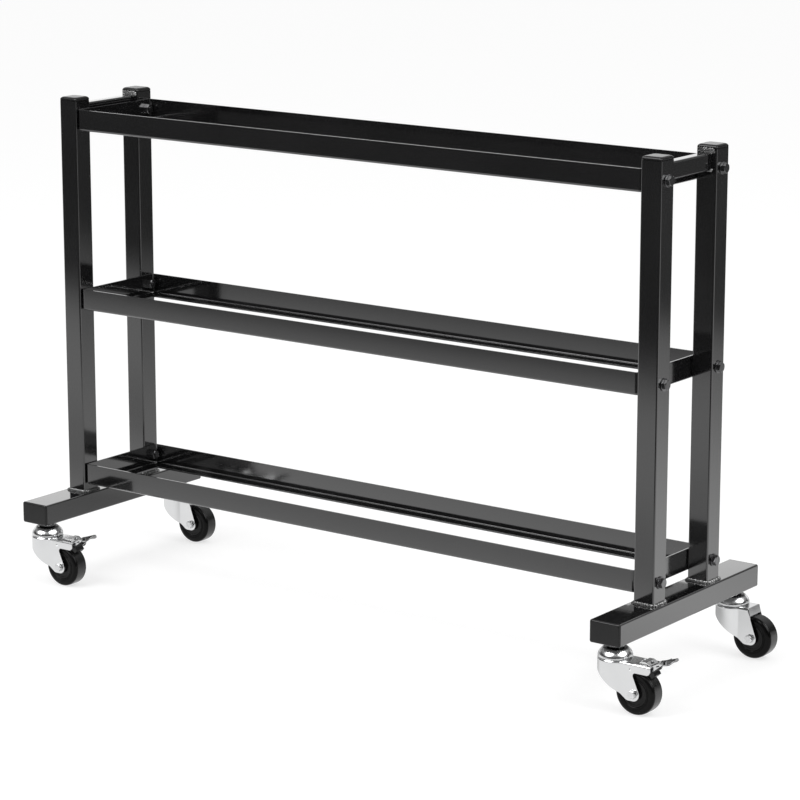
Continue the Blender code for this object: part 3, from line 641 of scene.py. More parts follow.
def upright(side, end):
    """An upright with a bolt hole at each shelf, in its place."""
    node = f"{side}_{end}_upright"
    low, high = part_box(node)
    foot = middle(node) - Vector((0, 0, (high.z - low.z) / 2))
    mesh = moved(tube(UPRIGHT_SIZE, UPRIGHT_SIZE, UPRIGHT_WALL, high.z - low.z), Matrix.Translation(foot))
    for shelf in SHELVES:
        bolt = middle(f"{shelf}_shelf_{side}_{end}_bolt")
        mesh = cut(mesh, rod(BOLT_HOLE / 2, -UPRIGHT_SIZE, UPRIGHT_SIZE, "X", (foot.x, foot.y, bolt.z)))
    place(f"{node}_tube", finished(mesh), POWDER, [node])


def lying_tube(node, width, height, wall):
    """A tube along Y, in the place of a frame node."""
    low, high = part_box(node)
    mesh = moved(tube(width, height, wall, high.y - low.y), Matrix.Rotation(-pi / 2, 4, "X"))
    return moved(mesh, at(middle(node).x, low.y, middle(node).z))


def foot(side):
    """A foot with the nuts that take the caster stems, in its place."""
    node = f"{side}_foot"
    mesh = lying_tube(node, FOOT_WIDTH, FOOT_HEIGHT, FOOT_WALL)
    for end, _ in ENDS:
        kingpin = middle(f"{side}_{end}_caster_stem")
        nut = prism(hexagon(STEM_NUT_SIZE, STEM_NUT_SIZE), FOOT_WALL / 2, FOOT_WALL + STEM_NUT_HEIGHT)
        bore = prism(circle(STEM_DIAMETER / 2 + PIN_PLAY), -FOOT_WALL, STEM_REACH)
        at_pin = at(kingpin.x, kingpin.y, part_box(node)[0].z)
        mesh = cut(joined(mesh, moved(nut, at_pin)), moved(bore, at_pin))
    place(f"{node}_tube", finished(mesh), POWDER, [node])


def cross_tube(side):
    """The tube that ties the tops of two uprights."""
    node = f"{side}_cross_tube"
    mesh = lying_tube(node, CROSS_WIDTH, CROSS_HEIGHT, CROSS_WALL)
    place(f"{node}_body", finished(mesh), POWDER, [node])


def side_frames():
    """Both side frames with their caps."""
    upright_cap = cap(UPRIGHT_SIZE, UPRIGHT_SIZE, UPRIGHT_WALL, *UPRIGHT_CAP)
    foot_cap = cap(FOOT_WIDTH, FOOT_HEIGHT, FOOT_WALL, *FOOT_CAP)
    for side, _ in SIDES:
        foot(side)
        cross_tube(side)
        for end, sign in ENDS:
            upright(side, end)
            node = f"{side}_{end}_upright"
            top = at(middle(node).x, middle(node).y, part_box(node)[1].z)
            place(f"{node}_top", upright_cap, CAP_PLASTIC, [f"{node}_cap"], top)
            tube_end = middle(f"{side}_foot")
            tube_end.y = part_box(f"{side}_foot")[(sign + 1) // 2].y
            where = Matrix.Translation(tube_end) @ Matrix.Rotation(-sign * pi / 2, 4, "X")
            place(f"{side}_{end}_foot_end", foot_cap, CAP_PLASTIC, [f"{side}_{end}_foot_cap"], where)


# Shelves


def angle_section():
    """The shelf angle's section as (inset, height) points, inset counted in from its outer face."""
    inner = ANGLE_BEND - ANGLE_THICKNESS
    section = [(0, FLANGE_HEIGHT)]
    section += [(ANGLE_BEND * (1 - x), ANGLE_BEND * (1 - y)) for x, y in arc(0, pi / 2)]
    section += [(LEDGE_WIDTH, 0), (LEDGE_WIDTH, ANGLE_THICKNESS)]
    section += [(ANGLE_BEND - inner * x, ANGLE_BEND - inner * y) for x, y in arc(pi / 2, 0)]
    return section + [(ANGLE_THICKNESS, FLANGE_HEIGHT)]


def shelf(name):
    """One shelf: four mitred angles welded to a frame, with the seams ground smooth outside."""
    nodes = [f"{name}_shelf_{part}" for part in ("front_rail", "rear_rail", "left_end", "right_end")]
    low = Vector(map(min, *[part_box(node)[0] for node in nodes]))
    high = Vector(map(max, *[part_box(node)[1] for node in nodes]))
    rings = []
    for sx, sy, start in ((-1, -1, pi), (1, -1, 3 * pi / 2), (1, 1, 0), (-1, 1, pi / 2)):
        corner = Vector((high.x if sx > 0 else low.x, high.y if sy > 0 else low.y))
        for x, y in arc(start, start + pi / 2):
            ring = []
            for inset, height in angle_section():
                bend = max(SHELF_CORNER, inset)
                centre = corner - bend * Vector((sx, sy))
                spot = centre + (bend - inset) * Vector((x, y))
                ring.append(Vector((spot.x, spot.y, low.z + height)))
            rings.append(ring)
    mesh = loft(rings, hollow=True)
    for side, sign in SIDES:
        for end, _ in ENDS:
            bolt = middle(f"{name}_shelf_{side}_{end}_bolt")
            face = high.x if sign > 0 else low.x
            reach = 2 * ANGLE_THICKNESS
            mesh = cut(mesh, rod(BOLT_HOLE / 2, -reach, reach, "X", (face, bolt.y, bolt.z)))
    place(f"{name}_shelf_frame", finished(mesh, ANGLE_EDGE), POWDER, nodes)


# Repeated fastenings


def shape_tree(name, inputs):
    """An empty Geometry Nodes tree with a mesh in and out, named sizes and a material."""
    tree = bpy.data.node_groups.new(name, "GeometryNodeTree")
    tree.interface.new_socket("Mesh", in_out="INPUT", socket_type="NodeSocketGeometry")
    for label in inputs:
        tree.interface.new_socket(label, in_out="INPUT", socket_type="NodeSocketFloat")
    tree.interface.new_socket("Finish", in_out="INPUT", socket_type="NodeSocketMaterial")
    tree.interface.new_socket("Mesh", in_out="OUTPUT", socket_type="NodeSocketGeometry")
    return tree, add(tree, "Input"), add(tree, "Output")


def shaped(tree, base, sizes, material):
    """The plain mesh that a tree makes from a base mesh with the given sizes."""
    obj = scratch(base)
    modifier = obj.modifiers.new(tree.name, "NODES")
    modifier.node_group = tree
    values = {**sizes, "Finish": material}
    for item in tree.interface.items_tree:
        if item.in_out == "INPUT" and item.name in values:
            modifier[item.identifier] = values[item.name]
    return evaluated(obj)


def end_shape(tree, given, result, geometry, smooth_angle):
    """Closes a tree: real meshes, creased where they turn sharply, in the finish that it is given."""
    real = out(tree, "RealizeInstances", {0: geometry})
    edge_angle = add(tree, "InputMeshEdgeAngle").outputs["Unsigned Angle"]
    soft = out(tree, "Compare", {0: edge_angle, 1: smooth_angle}, operation="LESS_THAN")
    creased = out(tree, "SetShadeSmooth", {0: real, 2: soft}, domain="EDGE")
    dressed = out(tree, "SetMaterial", {0: creased, 2: given.outputs["Finish"]})
    tree.links.new(dressed, result.inputs[0])


def shifted(tree, geometry, height):
    """A geometry lifted along Z."""
    lift = out(tree, "CombineXYZ", {2: height})
    return out(tree, "Transform", {0: geometry, "Translation": lift})


def turned_hexagon(tree, size, height, base):
    """A hexagon that stands on base, its upper corners turned off on a lathe."""
    corner = math_node(tree, "DIVIDE", size, sqrt(3))
    blank = out(tree, "MeshCylinder", {"Vertices": 6, "Radius": corner, "Depth": height})
    blank = shifted(tree, blank, math_node(tree, "MULTIPLY_ADD", height, 0.5, base))
    top = times(tree, size, HEXAGON_FACE)
    wide = math_node(tree, "MULTIPLY_ADD", height, HEAD_SLOPE, top)
    turning = {"Vertices": 48, "Radius Top": top, "Radius Bottom": wide, "Depth": height}
    turning = shifted(tree, out(tree, "MeshCone", turning), base)
    both = add(tree, "MeshBoolean", operation="INTERSECT", solver="EXACT")
    for part in (blank, turning):
        tree.links.new(part, both.inputs[1])
    return both.outputs[0]


def stamped_ring(tree, inner, outer, thickness, base):
    """A flat washer that lies on base, its edges rounded by the stamp."""
    band = times(tree, math_node(tree, "SUBTRACT", outer, inner), 0.5)
    middle_line = times(tree, math_node(tree, "ADD", outer, inner), 0.25)
    path = out(tree, "CurvePrimitiveCircle", {"Resolution": 48, "Radius": middle_line})
    section = out(tree, "CurvePrimitiveQuadrilateral", {"Width": band, "Height": thickness})
    section = out(tree, "FilletCurve", {0: section, 1: 2, 2: WASHER_ROUND}, mode="POLY")
    ring = out(tree, "CurveToMesh", {0: path, 1: section})
    return shifted(tree, ring, math_node(tree, "MULTIPLY_ADD", thickness, 0.5, base))


def facing(tree, attribute, lean, angle):
    """A turn of Z towards a direction, then about an axis of its own by an angle."""
    towards = out(tree, "AlignRotationToVector", {2: attribute}, axis="Z")
    own = out(tree, "AxisAngleToRotation", {0: lean, 1: angle})
    return out(tree, "RotateRotation", {0: towards, 1: own}, rotation_space="LOCAL")


def scattered(tree, low, high, seed):
    """A number picked for each point between low and high."""
    return add(tree, "RandomValue", {2: low, 3: high, 8: seed}, data_type="FLOAT").outputs[1]


def bolt_tree():
    """Hexagon bolts at points, each along the way its point faces: head and washer out, thread and nut in."""
    inputs = ("Head Size", "Head Height", "Washer Size", "Washer Thickness", "Bolt Size", "Clamped",
              "Nut Height", "Stub", "Pitch", "Turn Seed")
    tree, given, result = shape_tree("hexagon_bolts", inputs)
    size = {label: given.outputs[label] for label in inputs}
    seat = math_node(tree, "ADD", size["Washer Thickness"], SEAT_GAP)
    head = turned_hexagon(tree, size["Head Size"], size["Head Height"], seat)
    washer = stamped_ring(tree, size["Bolt Size"], size["Washer Size"], size["Washer Thickness"], SEAT_GAP)
    nut_end = math_node(tree, "ADD", size["Clamped"], size["Nut Height"])
    stub_end = math_node(tree, "ADD", nut_end, size["Stub"])
    length = math_node(tree, "ADD", stub_end, seat)
    core = times(tree, size["Bolt Size"], THREAD_ROOT)
    shank = out(tree, "MeshCylinder", {"Vertices": 24, "Radius": core, "Depth": length})
    shank = shifted(tree, shank, times(tree, math_node(tree, "SUBTRACT", seat, stub_end), 0.5))
    turns = math_node(tree, "DIVIDE", size["Stub"], size["Pitch"])
    turns = math_node(tree, "ADD", turns, 0.5)
    coil = out(tree, "CurveSpiral", {0: 20, 1: turns, 2: core, 3: core, 4: size["Stub"]})
    ridge = times(tree, size["Pitch"], THREAD_RIDGE)
    ridge = out(tree, "CurvePrimitiveCircle", {"Resolution": 3, "Radius": ridge})
    thread = out(tree, "CurveToMesh", {0: coil, 1: ridge, 3: True})
    thread = shifted(tree, thread, times(tree, stub_end, -1.0))
    nut = turned_hexagon(tree, size["Head Size"], size["Nut Height"], size["Clamped"])
    nut = out(tree, "Transform", {0: nut, "Rotation": (pi, 0, 0)})
    whole = add(tree, "JoinGeometry")
    for part in (head, washer, shank, thread, nut):
        tree.links.new(part, whole.inputs[0])
    way = out(tree, "InputNamedAttribute", {"Name": "facing"}, data_type="FLOAT_VECTOR")
    turn = facing(tree, way, (0, 0, 1), scattered(tree, 0.0, tau, size["Turn Seed"]))
    sockets = {"Points": given.outputs["Mesh"], "Instance": whole.outputs[0], "Rotation": turn}
    bolts = out(tree, "InstanceOnPoints", sockets)
    end_shape(tree, given, result, bolts, radians(25.0))
    return tree


def bolt_points():
    """One point on the upright's outer face for each bolt, with the way that its head faces."""
    spots, facings, nodes = [], [], []
    for name in SHELVES:
        for side, sign in SIDES:
            for end, _ in ENDS:
                node = f"{name}_shelf_{side}_{end}_bolt"
                face = middle(f"{side}_{end}_upright").x + sign * UPRIGHT_SIZE / 2
                spots.append((face, middle(node).y, middle(node).z))
                facings.append((sign, 0.0, 0.0))
                nodes.append(node)
    mesh = bpy.data.meshes.new("bolt_points")
    mesh.from_pydata(spots, [], [])
    attribute = mesh.attributes.new("facing", "FLOAT_VECTOR", "POINT")
    for entry, facing in zip(attribute.data, facings):
        entry.vector = facing
    return mesh, nodes


def shelf_bolts():
    """The twelve bolts that hold the shelves."""
    points, nodes = bolt_points()
    sizes = {
        "Head Size": 0.016, "Head Height": 0.0064, "Washer Size": 0.022, "Washer Thickness": 0.002,
        "Bolt Size": 0.010, "Clamped": UPRIGHT_SIZE + SEAT_GAP + ANGLE_THICKNESS + SEAT_GAP,
        "Nut Height": 0.010, "Stub": 0.0025, "Pitch": 0.0015, "Turn Seed": 7,
    }
    mesh = shaped(bolt_tree(), points, sizes, BLACK_ZINC)
    place("shelf_bolts", mesh, BLACK_ZINC, nodes)


def weld_tree():
    """Beads of weld along edges: overlapping scales, each leaning the way that the torch went."""
    inputs = ("Bead Size", "Scale Step", "Scatter", "Seed")
    tree, given, result = shape_tree("weld_beads", inputs)
    size = {label: given.outputs[label] for label in inputs}
    path = out(tree, "MeshToCurve", {0: given.outputs["Mesh"]})
    path = out(tree, "ResampleCurve", {"Curve": path, 3: size["Scale Step"]}, mode="LENGTH")
    tangent = out(tree, "InputTangent")
    turn = facing(tree, tangent, (0.6, 0.8, 0.0), scattered(tree, 0.25, 0.75, size["Seed"]))
    scale = out(tree, "MeshUVSphere", {"Segments": 14, "Rings": 9, "Radius": size["Bead Size"]})
    flat = out(tree, "Transform", {0: scale, "Scale": (1.0, 1.0, 0.5)})
    low = math_node(tree, "SUBTRACT", 1.0, size["Scatter"])
    grow = scattered(tree, low, 1.0, size["Seed"])
    sockets = {"Points": path, "Instance": flat, "Rotation": turn, "Scale": grow}
    beads = out(tree, "InstanceOnPoints", sockets)
    end_shape(tree, given, result, beads, radians(60.0))
    return tree


def square_path(centre, size, inset):
    """A closed level path round an upright's foot, its corners cut by inset."""
    corners = []
    for sx, sy in ((-1, -1), (1, -1), (1, 1), (-1, 1)):
        ends = [(sx * size / 2, sy * (size / 2 - inset)), (sx * (size / 2 - inset), sy * size / 2)]
        corners += ends if sx == sy else reversed(ends)
    return [centre + Vector((x, y, 0)) for x, y in corners]


def weld_paths():
    """Weld paths as lists of points: round upright feet, at cross tube ends, and woven over those ends."""
    base, cross, over = [], [], []
    for side, _ in SIDES:
        tube_middle = middle(f"{side}_cross_tube")
        for end, sign in ENDS:
            post = middle(f"{side}_{end}_upright")
            seam = Vector((post.x, post.y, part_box(f"{side}_{end}_upright")[0].z))
            base.append(square_path(seam, UPRIGHT_SIZE, WELD_CORNER))
            face = Vector((tube_middle.x, post.y - sign * UPRIGHT_SIZE / 2, tube_middle.z))
            top = face + Vector((0, 0, CROSS_HEIGHT / 2))
            for height in (-CROSS_HEIGHT / 2, CROSS_HEIGHT / 2):
                cross.append([face + Vector((across * CROSS_WIDTH, 0, height)) for across in (-0.5, 0.5)])
            weave = [(0.5 - step % 2, OVERLAY_RISE * step + OVERLAY_LIFT) for step in range(6)]
            over.append([top + Vector((across * OVERLAY_WIDTH, 0, rise)) for across, rise in weave])
    return base, cross, over


def path_mesh(paths, closed):
    """Paths as a mesh of bare edges."""
    points, edges = [], []
    for path in paths:
        start = len(points)
        points += path
        edges += [(start + index, start + index + 1) for index in range(len(path) - 1)]
        if closed:
            edges.append((start + len(path) - 1, start))
    mesh = bpy.data.meshes.new("paths")
    mesh.from_pydata(points, edges, [])
    return mesh


def welds():
    """The welds that hold the side frames together."""
    tree = weld_tree()
    base, cross, over = weld_paths()
    feet = [f"{side}_foot" for side, _ in SIDES]
    tubes = [f"{side}_cross_tube" for side, _ in SIDES]
    labels = ("Bead Size", "Scale Step", "Scatter", "Seed")
    for name, paths, closed, nodes, values in (
        ("foot_welds", base, True, feet, (0.0054, 0.0038, 0.25, 3)),
        ("cross_tube_welds", cross, False, tubes, (0.0034, 0.0030, 0.22, 11)),
        ("overlay_welds", over, False, tubes, (0.0036, 0.0044, 0.55, 5)),
    ):
        sizes = dict(zip(labels, values))
        place(name, shaped(tree, path_mesh(paths, closed), sizes, WELD_PAINTED_SHEEN), WELD_PAINTED_SHEEN, nodes)


# Casters


def stem_mesh():
    """A caster's fixed part: threaded stem, hexagon collar, domed raceway and riveted kingpin."""
    radius = STEM_DIAMETER / 2
    root = radius - THREAD_DEPTH
    stem = [(radius - STEM_CHAMFER, STEM_REACH)]
    for turn in range(int((STEM_REACH - 0.002) / THREAD_PITCH)):
        crest = STEM_REACH - STEM_CHAMFER - turn * THREAD_PITCH
        stem += [(radius, crest), (root, crest - THREAD_PITCH / 2)]
    stem.append((root, -SEAT_GAP))
    top = -SEAT_GAP - COLLAR_HEIGHT
    collar = reversed(chamfered_hexagon(COLLAR_SIZE, top, -SEAT_GAP, (True, True)))
    swell = (RACEWAY_RADIUS - RACEWAY_TOP_RADIUS) / (1 - sin(RACEWAY_START))
    fall = (RACEWAY_HEIGHT - RACEWAY_LIP) / cos(RACEWAY_START)
    dome = [(RACEWAY_TOP_RADIUS * 0.72, top), (RACEWAY_TOP_RADIUS * 0.97, top - 0.0001)]
    for x, y in arc(RACEWAY_START, pi / 2, 14):
        drop = fall * (cos(RACEWAY_START) - x)
        dome.append((RACEWAY_RADIUS - swell * (1 - y), top - 0.0002 - drop))
    bottom = top - RACEWAY_HEIGHT
    dome += [(RACEWAY_RADIUS - inset, bottom + rise) for inset, rise in RACEWAY_EDGE]
    rivet_top = CROWN_UNDERSIDE - RACE_GAP
    rivet = [(radius, bottom), (radius, rivet_top), (RIVET_RADIUS, rivet_top)]
    rivet += [(reach, rivet_top - drop) for reach, drop in RIVET_ROUND]
    return finished(loft([*turned(stem), *collar, *turned(dome + rivet)]))


def crown_outline(inset, reach):
    """The fork from above: a round crown that necks in to two straight sides, open towards the wheel."""
    radius = CROWN_RADIUS - inset
    half = HALF_OUTSIDE - inset
    fillet = NECK_FILLET + inset
    centre_x = sqrt((radius + fillet) ** 2 - (half + fillet) ** 2)
    neck = atan2(half + fillet, centre_x)
    upper = [(reach, half), (centre_x, half)]
    upper += [(centre_x + fillet * x, half + fillet + fillet * y) for x, y in arc(-pi / 2, neck - pi)[1:]]
    upper += [(radius * x, radius * y) for x, y in arc(neck, pi, 24)[1:]]
    lower = [(x, -y) for x, y in reversed(upper[:-1])]
    return [Vector(point) for point in upper + lower]


def fork_side(braked):
    """The fork from the side: the leading edge slopes to the toe, and a lobe is wrapped round the axle."""
    sole = AXLE_HEIGHT - LOBE
    front = -CROWN_RADIUS - SHEET
    above = CROWN_TOP + SHEET
    top_x, top_z = (NOTCH_X, CROWN_TOP - ARM_DEPTH) if braked else (PLAIN_REACH, CROWN_TOP)
    to_top = Vector((top_x - TRAIL, top_z - AXLE_HEIGHT))
    turn = atan2(to_top.y, to_top.x) - acos(LOBE / to_top.length)
    tangent = Vector((TRAIL, AXLE_HEIGHT)) + LOBE * Vector((cos(turn), sin(turn)))
    slope = (tangent.x - top_x) / (top_z - tangent.y)
    heel_x = tangent.x + slope * (tangent.y - sole)
    corners = [(front, above, 0), (front, CROWN_TOP - CROWN_SKIRT, 0)]
    corners += [(TOE_X, sole, TOE_FILLET), (heel_x, sole, LOBE)]
    if braked:
        corners += [(top_x, top_z, NOTCH_RADIUS), (ARM_REACH, top_z, ARM_TIP), (ARM_REACH, above, 0)]
    else:
        corners += [(top_x, top_z, 0), (top_x, above, 0)]
    return rounded(corners, 10)


def pressed_shell():
    """The sheet that a fork is cut from: a flat crown with a rolled rim, and walls all round it."""
    far = ARM_REACH + TRAIL
    sole = AXLE_HEIGHT - 2 * LOBE
    rim = CROWN_TOP - RIM_DEPTH
    steps = [(RIM_PROUD, sole), (RIM_PROUD, rim), (RIM_PROUD * 0.4, rim + 0.0005)]
    steps += [(SHEET_BEND * (1 - x), CROWN_TOP - SHEET_BEND * (1 - y)) for x, y in arc(0, pi / 2)]
    hollow = prism(crown_outline(SHEET, 2 * far), 2 * sole, CROWN_UNDERSIDE)
    return cut(loft([level(crown_outline(inset, far), height) for inset, height in steps]), hollow)


def hood():
    """The lip that a plain fork's crown bends down into, over the wheel."""
    low = AXLE_HEIGHT + sqrt(WHEEL_RADIUS**2 - HOOD_LEAN**2) + HOOD_CLEARANCE
    bend = SHEET_BEND / 2
    outline = rounded([
        (PLAIN_REACH - SHEET, CROWN_TOP, 0),
        (PLAIN_REACH + bend, CROWN_TOP, bend),
        (PLAIN_REACH + bend + HOOD_LEAN, low, 0),
        (PLAIN_REACH + bend + HOOD_LEAN - SHEET, low, 0),
        (PLAIN_REACH - SHEET, CROWN_UNDERSIDE, 0),
    ])
    return side_prism(outline, -HALF_INSIDE, HALF_INSIDE)


def fork_mesh(braked):
    """A caster's pressed fork, about the kingpin's axis at the foot's underside."""
    wide = 2 * CROWN_RADIUS
    fork = boolean(pressed_shell(), side_prism(fork_side(braked), -wide, wide), "INTERSECT")
    if braked:
        half = LEVER_WIDTH / 2 + LEVER_SIDE_GAP
        slot = rectangle(ARM_REACH, 2 * half, LEVER_SIDE_GAP)
        slot = prism(slot, CROWN_UNDERSIDE - SHEET, CROWN_TOP + SHEET)
        slot = moved(slot, at(SLOT_START + ARM_REACH / 2, 0, 0))
        fork = cut(fork, slot, rod(PIN_RADIUS + PIN_PLAY, -wide, wide, "Y", (PIN_X, 0, PIN_HEIGHT)))
    else:
        fork = joined(fork, hood())
    kingpin = prism(circle(STEM_DIAMETER / 2 + PIN_PLAY), AXLE_HEIGHT, 0)
    axle = rod(AXLE_RADIUS + PIN_PLAY, -wide, wide, "Y", (TRAIL, 0, AXLE_HEIGHT))
    return finished(cut(fork, kingpin, axle), FORK_EDGE)


def offset(radius, half, steps):
    """Points of a half section, each a step away from one of its corners."""
    return [(radius + step, half + side_step) for step, side_step in steps]


def wheel_halves():
    """Half the sections of the tyre, the polished band of its tread and the core, as (radius, half width)."""
    tyre = offset(CORE_RADIUS, HALF_TYRE, (
        (0, -0.0014), (0.0003, -0.0004), (0.0009, 0), (0.0026, 0),
        (0.0030, -0.0007), (0.0040, -0.0007), (0.0045, -0.0001),
    ))
    tyre.append((WHEEL_RADIUS - 0.0062, HALF_TYRE))
    shoulder = [(0.0055 * y, 0.0050 * x) for x, y in arc(0, pi / 2, 8)]
    tyre += offset(WHEEL_RADIUS - 0.0058, HALF_TREAD, shoulder)
    tyre.append((WHEEL_RADIUS - TREAD_DEPTH, HALF_TREAD - 0.0002))
    tread = offset(WHEEL_RADIUS, HALF_TREAD - 0.0003, ((-TREAD_DEPTH, 0), (-0.0005, 0), (-0.0002, -0.0004)))
    tread.append((WHEEL_RADIUS, HALF_TREAD * 0.6))
    web = HALF_TYRE - WEB_RECESS
    core = offset(AXLE_RADIUS + PIN_PLAY, HALF_HUB, ((0, -0.0004), (0.0004, 0)))
    core += offset(HUB_RADIUS, HALF_HUB, ((-0.0005, 0), (0, -0.0005)))
    core += offset(HUB_RADIUS, web, ((0.0004, 0.0007), (0.0012, 0)))
    core += offset(CORE_RADIUS, web, ((-0.0040, 0), (-0.0034, 0.0009), (-0.0004, 0.0010), (-0.0001, 0.0004)))
    return tyre, tread, core


def both_halves(half):
    """A half section and its mirror image, turned to a wheel about Z."""
    return finished(loft(turned(half + [(radius, -width) for radius, width in reversed(half)]), hollow=True))


def axle_mesh():
    """The axle bolt along Z, its head at the top, with the nut on its other end."""
    face = HALF_OUTSIDE + SEAT_GAP
    top = face + AXLE_HEAD_HEIGHT
    bottom = -face - AXLE_NUT_HEIGHT
    rings = turned([(radius, top - drop) for radius, drop in AXLE_DISH])
    rings += reversed(chamfered_hexagon(AXLE_HEAD, face, top, (False, True)))
    rings += turned([(AXLE_RADIUS, face), (AXLE_RADIUS, -face)])
    rings += reversed(chamfered_hexagon(AXLE_HEAD, bottom, -face, (True, False)))
    rings += turned([(radius, bottom + rise) for radius, rise in AXLE_TIP])
    return finished(loft(rings))


def pad_height(x):
    """Height of the pedal's pad, which rises away from the fork."""
    tip = CROWN_TOP + PAD_RISE + PAD_LENGTH * sin(PAD_TILT) + LEVER_SHEET
    return tip - (PAD_REACH - x) * tan(PAD_TILT)


def lever_side(drop):
    """The brake pedal's channel from the side, lowered by drop."""
    hump = CROWN_TOP + HUMP_RISE
    belly = PIN_HEIGHT - PIN_RADIUS
    dip = CROWN_TOP - DIP_DROP
    end = pad_height(LEVER_END_X)
    nose = PIN_X - NOSE
    chin = PIN_X + NOSE
    corners = [
        (nose, PIN_HEIGHT - NOSE, NOSE_ROUND),
        (chin, PIN_HEIGHT - NOSE, NOSE),
        (chin + CHIN_LENGTH, belly, NOSE),
        (DIP_X + LEVER_SHEET, belly, LEVER_SHEET),
        (LEVER_END_X, end - TAIL_DEPTH, 0),
        (LEVER_END_X, end, 0),
        (DIP_X + TAIL_DEPTH, dip, TAIL_DEPTH),
        (DIP_X, dip, LEVER_SHEET),
        (DIP_X - HUMP_BACK, hump, NOSE),
        (DIP_X - HUMP_FRONT, hump, NOSE),
        (SLOT_START + LEVER_SHEET, CROWN_UNDERSIDE - LEVER_SHEET, LEVER_SHEET),
        (nose, PIN_HEIGHT + NOSE, NOSE_ROUND),
    ]
    return rounded([(x, z - drop, radius) for x, z, radius in corners])


def pad_mesh():
    """The leaf-shaped pad that the foot presses: arched from side to side, dished inside a rounded rim."""
    steps = (
        (0.90, -1.0), (0.97, -0.85), (1.0, -0.5), (1.0, 0.5), (0.985, 0.85), (0.95, 1.0),
        (0.90, 0.95), (0.80, 0.80), (0.6, 0.68), (0.3, 0.62), (0.02, 0.60),
    )
    rings = []
    for share, rise in steps:
        ring = []
        for point in circle(1.0):
            blunt = 0.75 if point.x < 0 else 1.0
            along, across = (share * copysign(abs(part) ** blunt, part) for part in point)
            height = rise * LEVER_SHEET / 2 - PAD_SAG * abs(across) ** PAD_SWEEP
            ring.append(Vector((along * PAD_LENGTH / 2, across * PAD_WIDTH / 2, height)))
        rings.append(ring)
    tilt = Matrix.Rotation(-PAD_TILT, 4, "Y")
    return moved(loft(rings), at(PAD_CENTRE_X, 0, pad_height(PAD_CENTRE_X)) @ tilt)


def soft_shoulders(mesh, half):
    """The channel with the long edges between its top and its sides rounded as a press rounds them."""
    bm = bmesh.new()
    bm.from_mesh(mesh)
    bm.normal_update()
    shoulders = []
    for edge in bm.edges:
        at_side = all(abs(abs(vert.co.y) - half) < 1e-6 for vert in edge.verts)
        normals = [face.normal for face in edge.link_faces]
        along = abs(edge.verts[0].co.y - edge.verts[1].co.y) < 1e-6
        if at_side and along and any(normal.z > 0.3 for normal in normals):
            shoulders.append(edge)
    bmesh.ops.bevel(
        bm, geom=shoulders, offset=HUMP_EDGE, segments=4, profile=0.5, affect="EDGES", clamp_overlap=True
    )
    bmesh.ops.recalc_face_normals(bm, faces=bm.faces)
    bm.to_mesh(mesh)
    bm.free()
    return mesh


def pedal_mesh():
    """The brake pedal with its hinge pin, about the kingpin's axis at the foot's underside."""
    half = LEVER_WIDTH / 2
    channel = soft_shoulders(side_prism(lever_side(0), -half, half), half)
    channel = cut(channel, side_prism(lever_side(LEVER_SHEET), -half + LEVER_SHEET, half - LEVER_SHEET))
    lean = atan2(pad_height(LEVER_END_X) - CROWN_TOP, LEVER_END_X - DIP_X)
    length, width, round_end = SLOT_SIZE
    slot_x = (DIP_X + LEVER_END_X) / 2 + LEVER_SHEET
    where = at(slot_x, 0, pad_height(slot_x) - SLOT_DROP) @ Matrix.Rotation(-lean, 4, "Y")
    channel = cut(channel, moved(side_prism(rectangle(length, width, round_end), -half * 2, half * 2), where))
    window = prism(rectangle(*WINDOW), CROWN_UNDERSIDE, CROWN_TOP + 2 * HUMP_RISE)
    channel = cut(channel, moved(window, at(DIP_X - HUMP_BACK / 2, 0, 0)))
    pin = rod(PIN_RADIUS, -HALF_OUTSIDE + PIN_INSET, HALF_OUTSIDE - PIN_INSET, "Y", (PIN_X, 0, PIN_HEIGHT))
    return finished(joined(channel, pad_mesh(), pin), PEDAL_EDGE)


def shoe_mesh():
    """The brake shoe under the pedal, its face curved to the tyre."""
    top = CROWN_TOP - DIP_DROP - LEVER_SHEET - SEAT_GAP
    reach = WHEEL_RADIUS + SHOE_GAP
    neck = DIP_X - LEVER_SHEET
    back = neck + SHOE_NECK
    outline = [Vector((TRAIL + reach * x, AXLE_HEIGHT + reach * y)) for x, y in arc(*SHOE_ANGLES, 8)]
    heel = (SHOE_HEEL[0], outline[0].y + SHOE_HEEL[1])
    block = ((neck, SHOE_SHOULDER), (neck, top), (back, top), (back, SHOE_SHOULDER), heel)
    outline += [Vector(corner) for corner in block]
    return finished(side_prism(outline, -SHOE_WIDTH / 2, SHOE_WIDTH / 2), SHOE_EDGE)


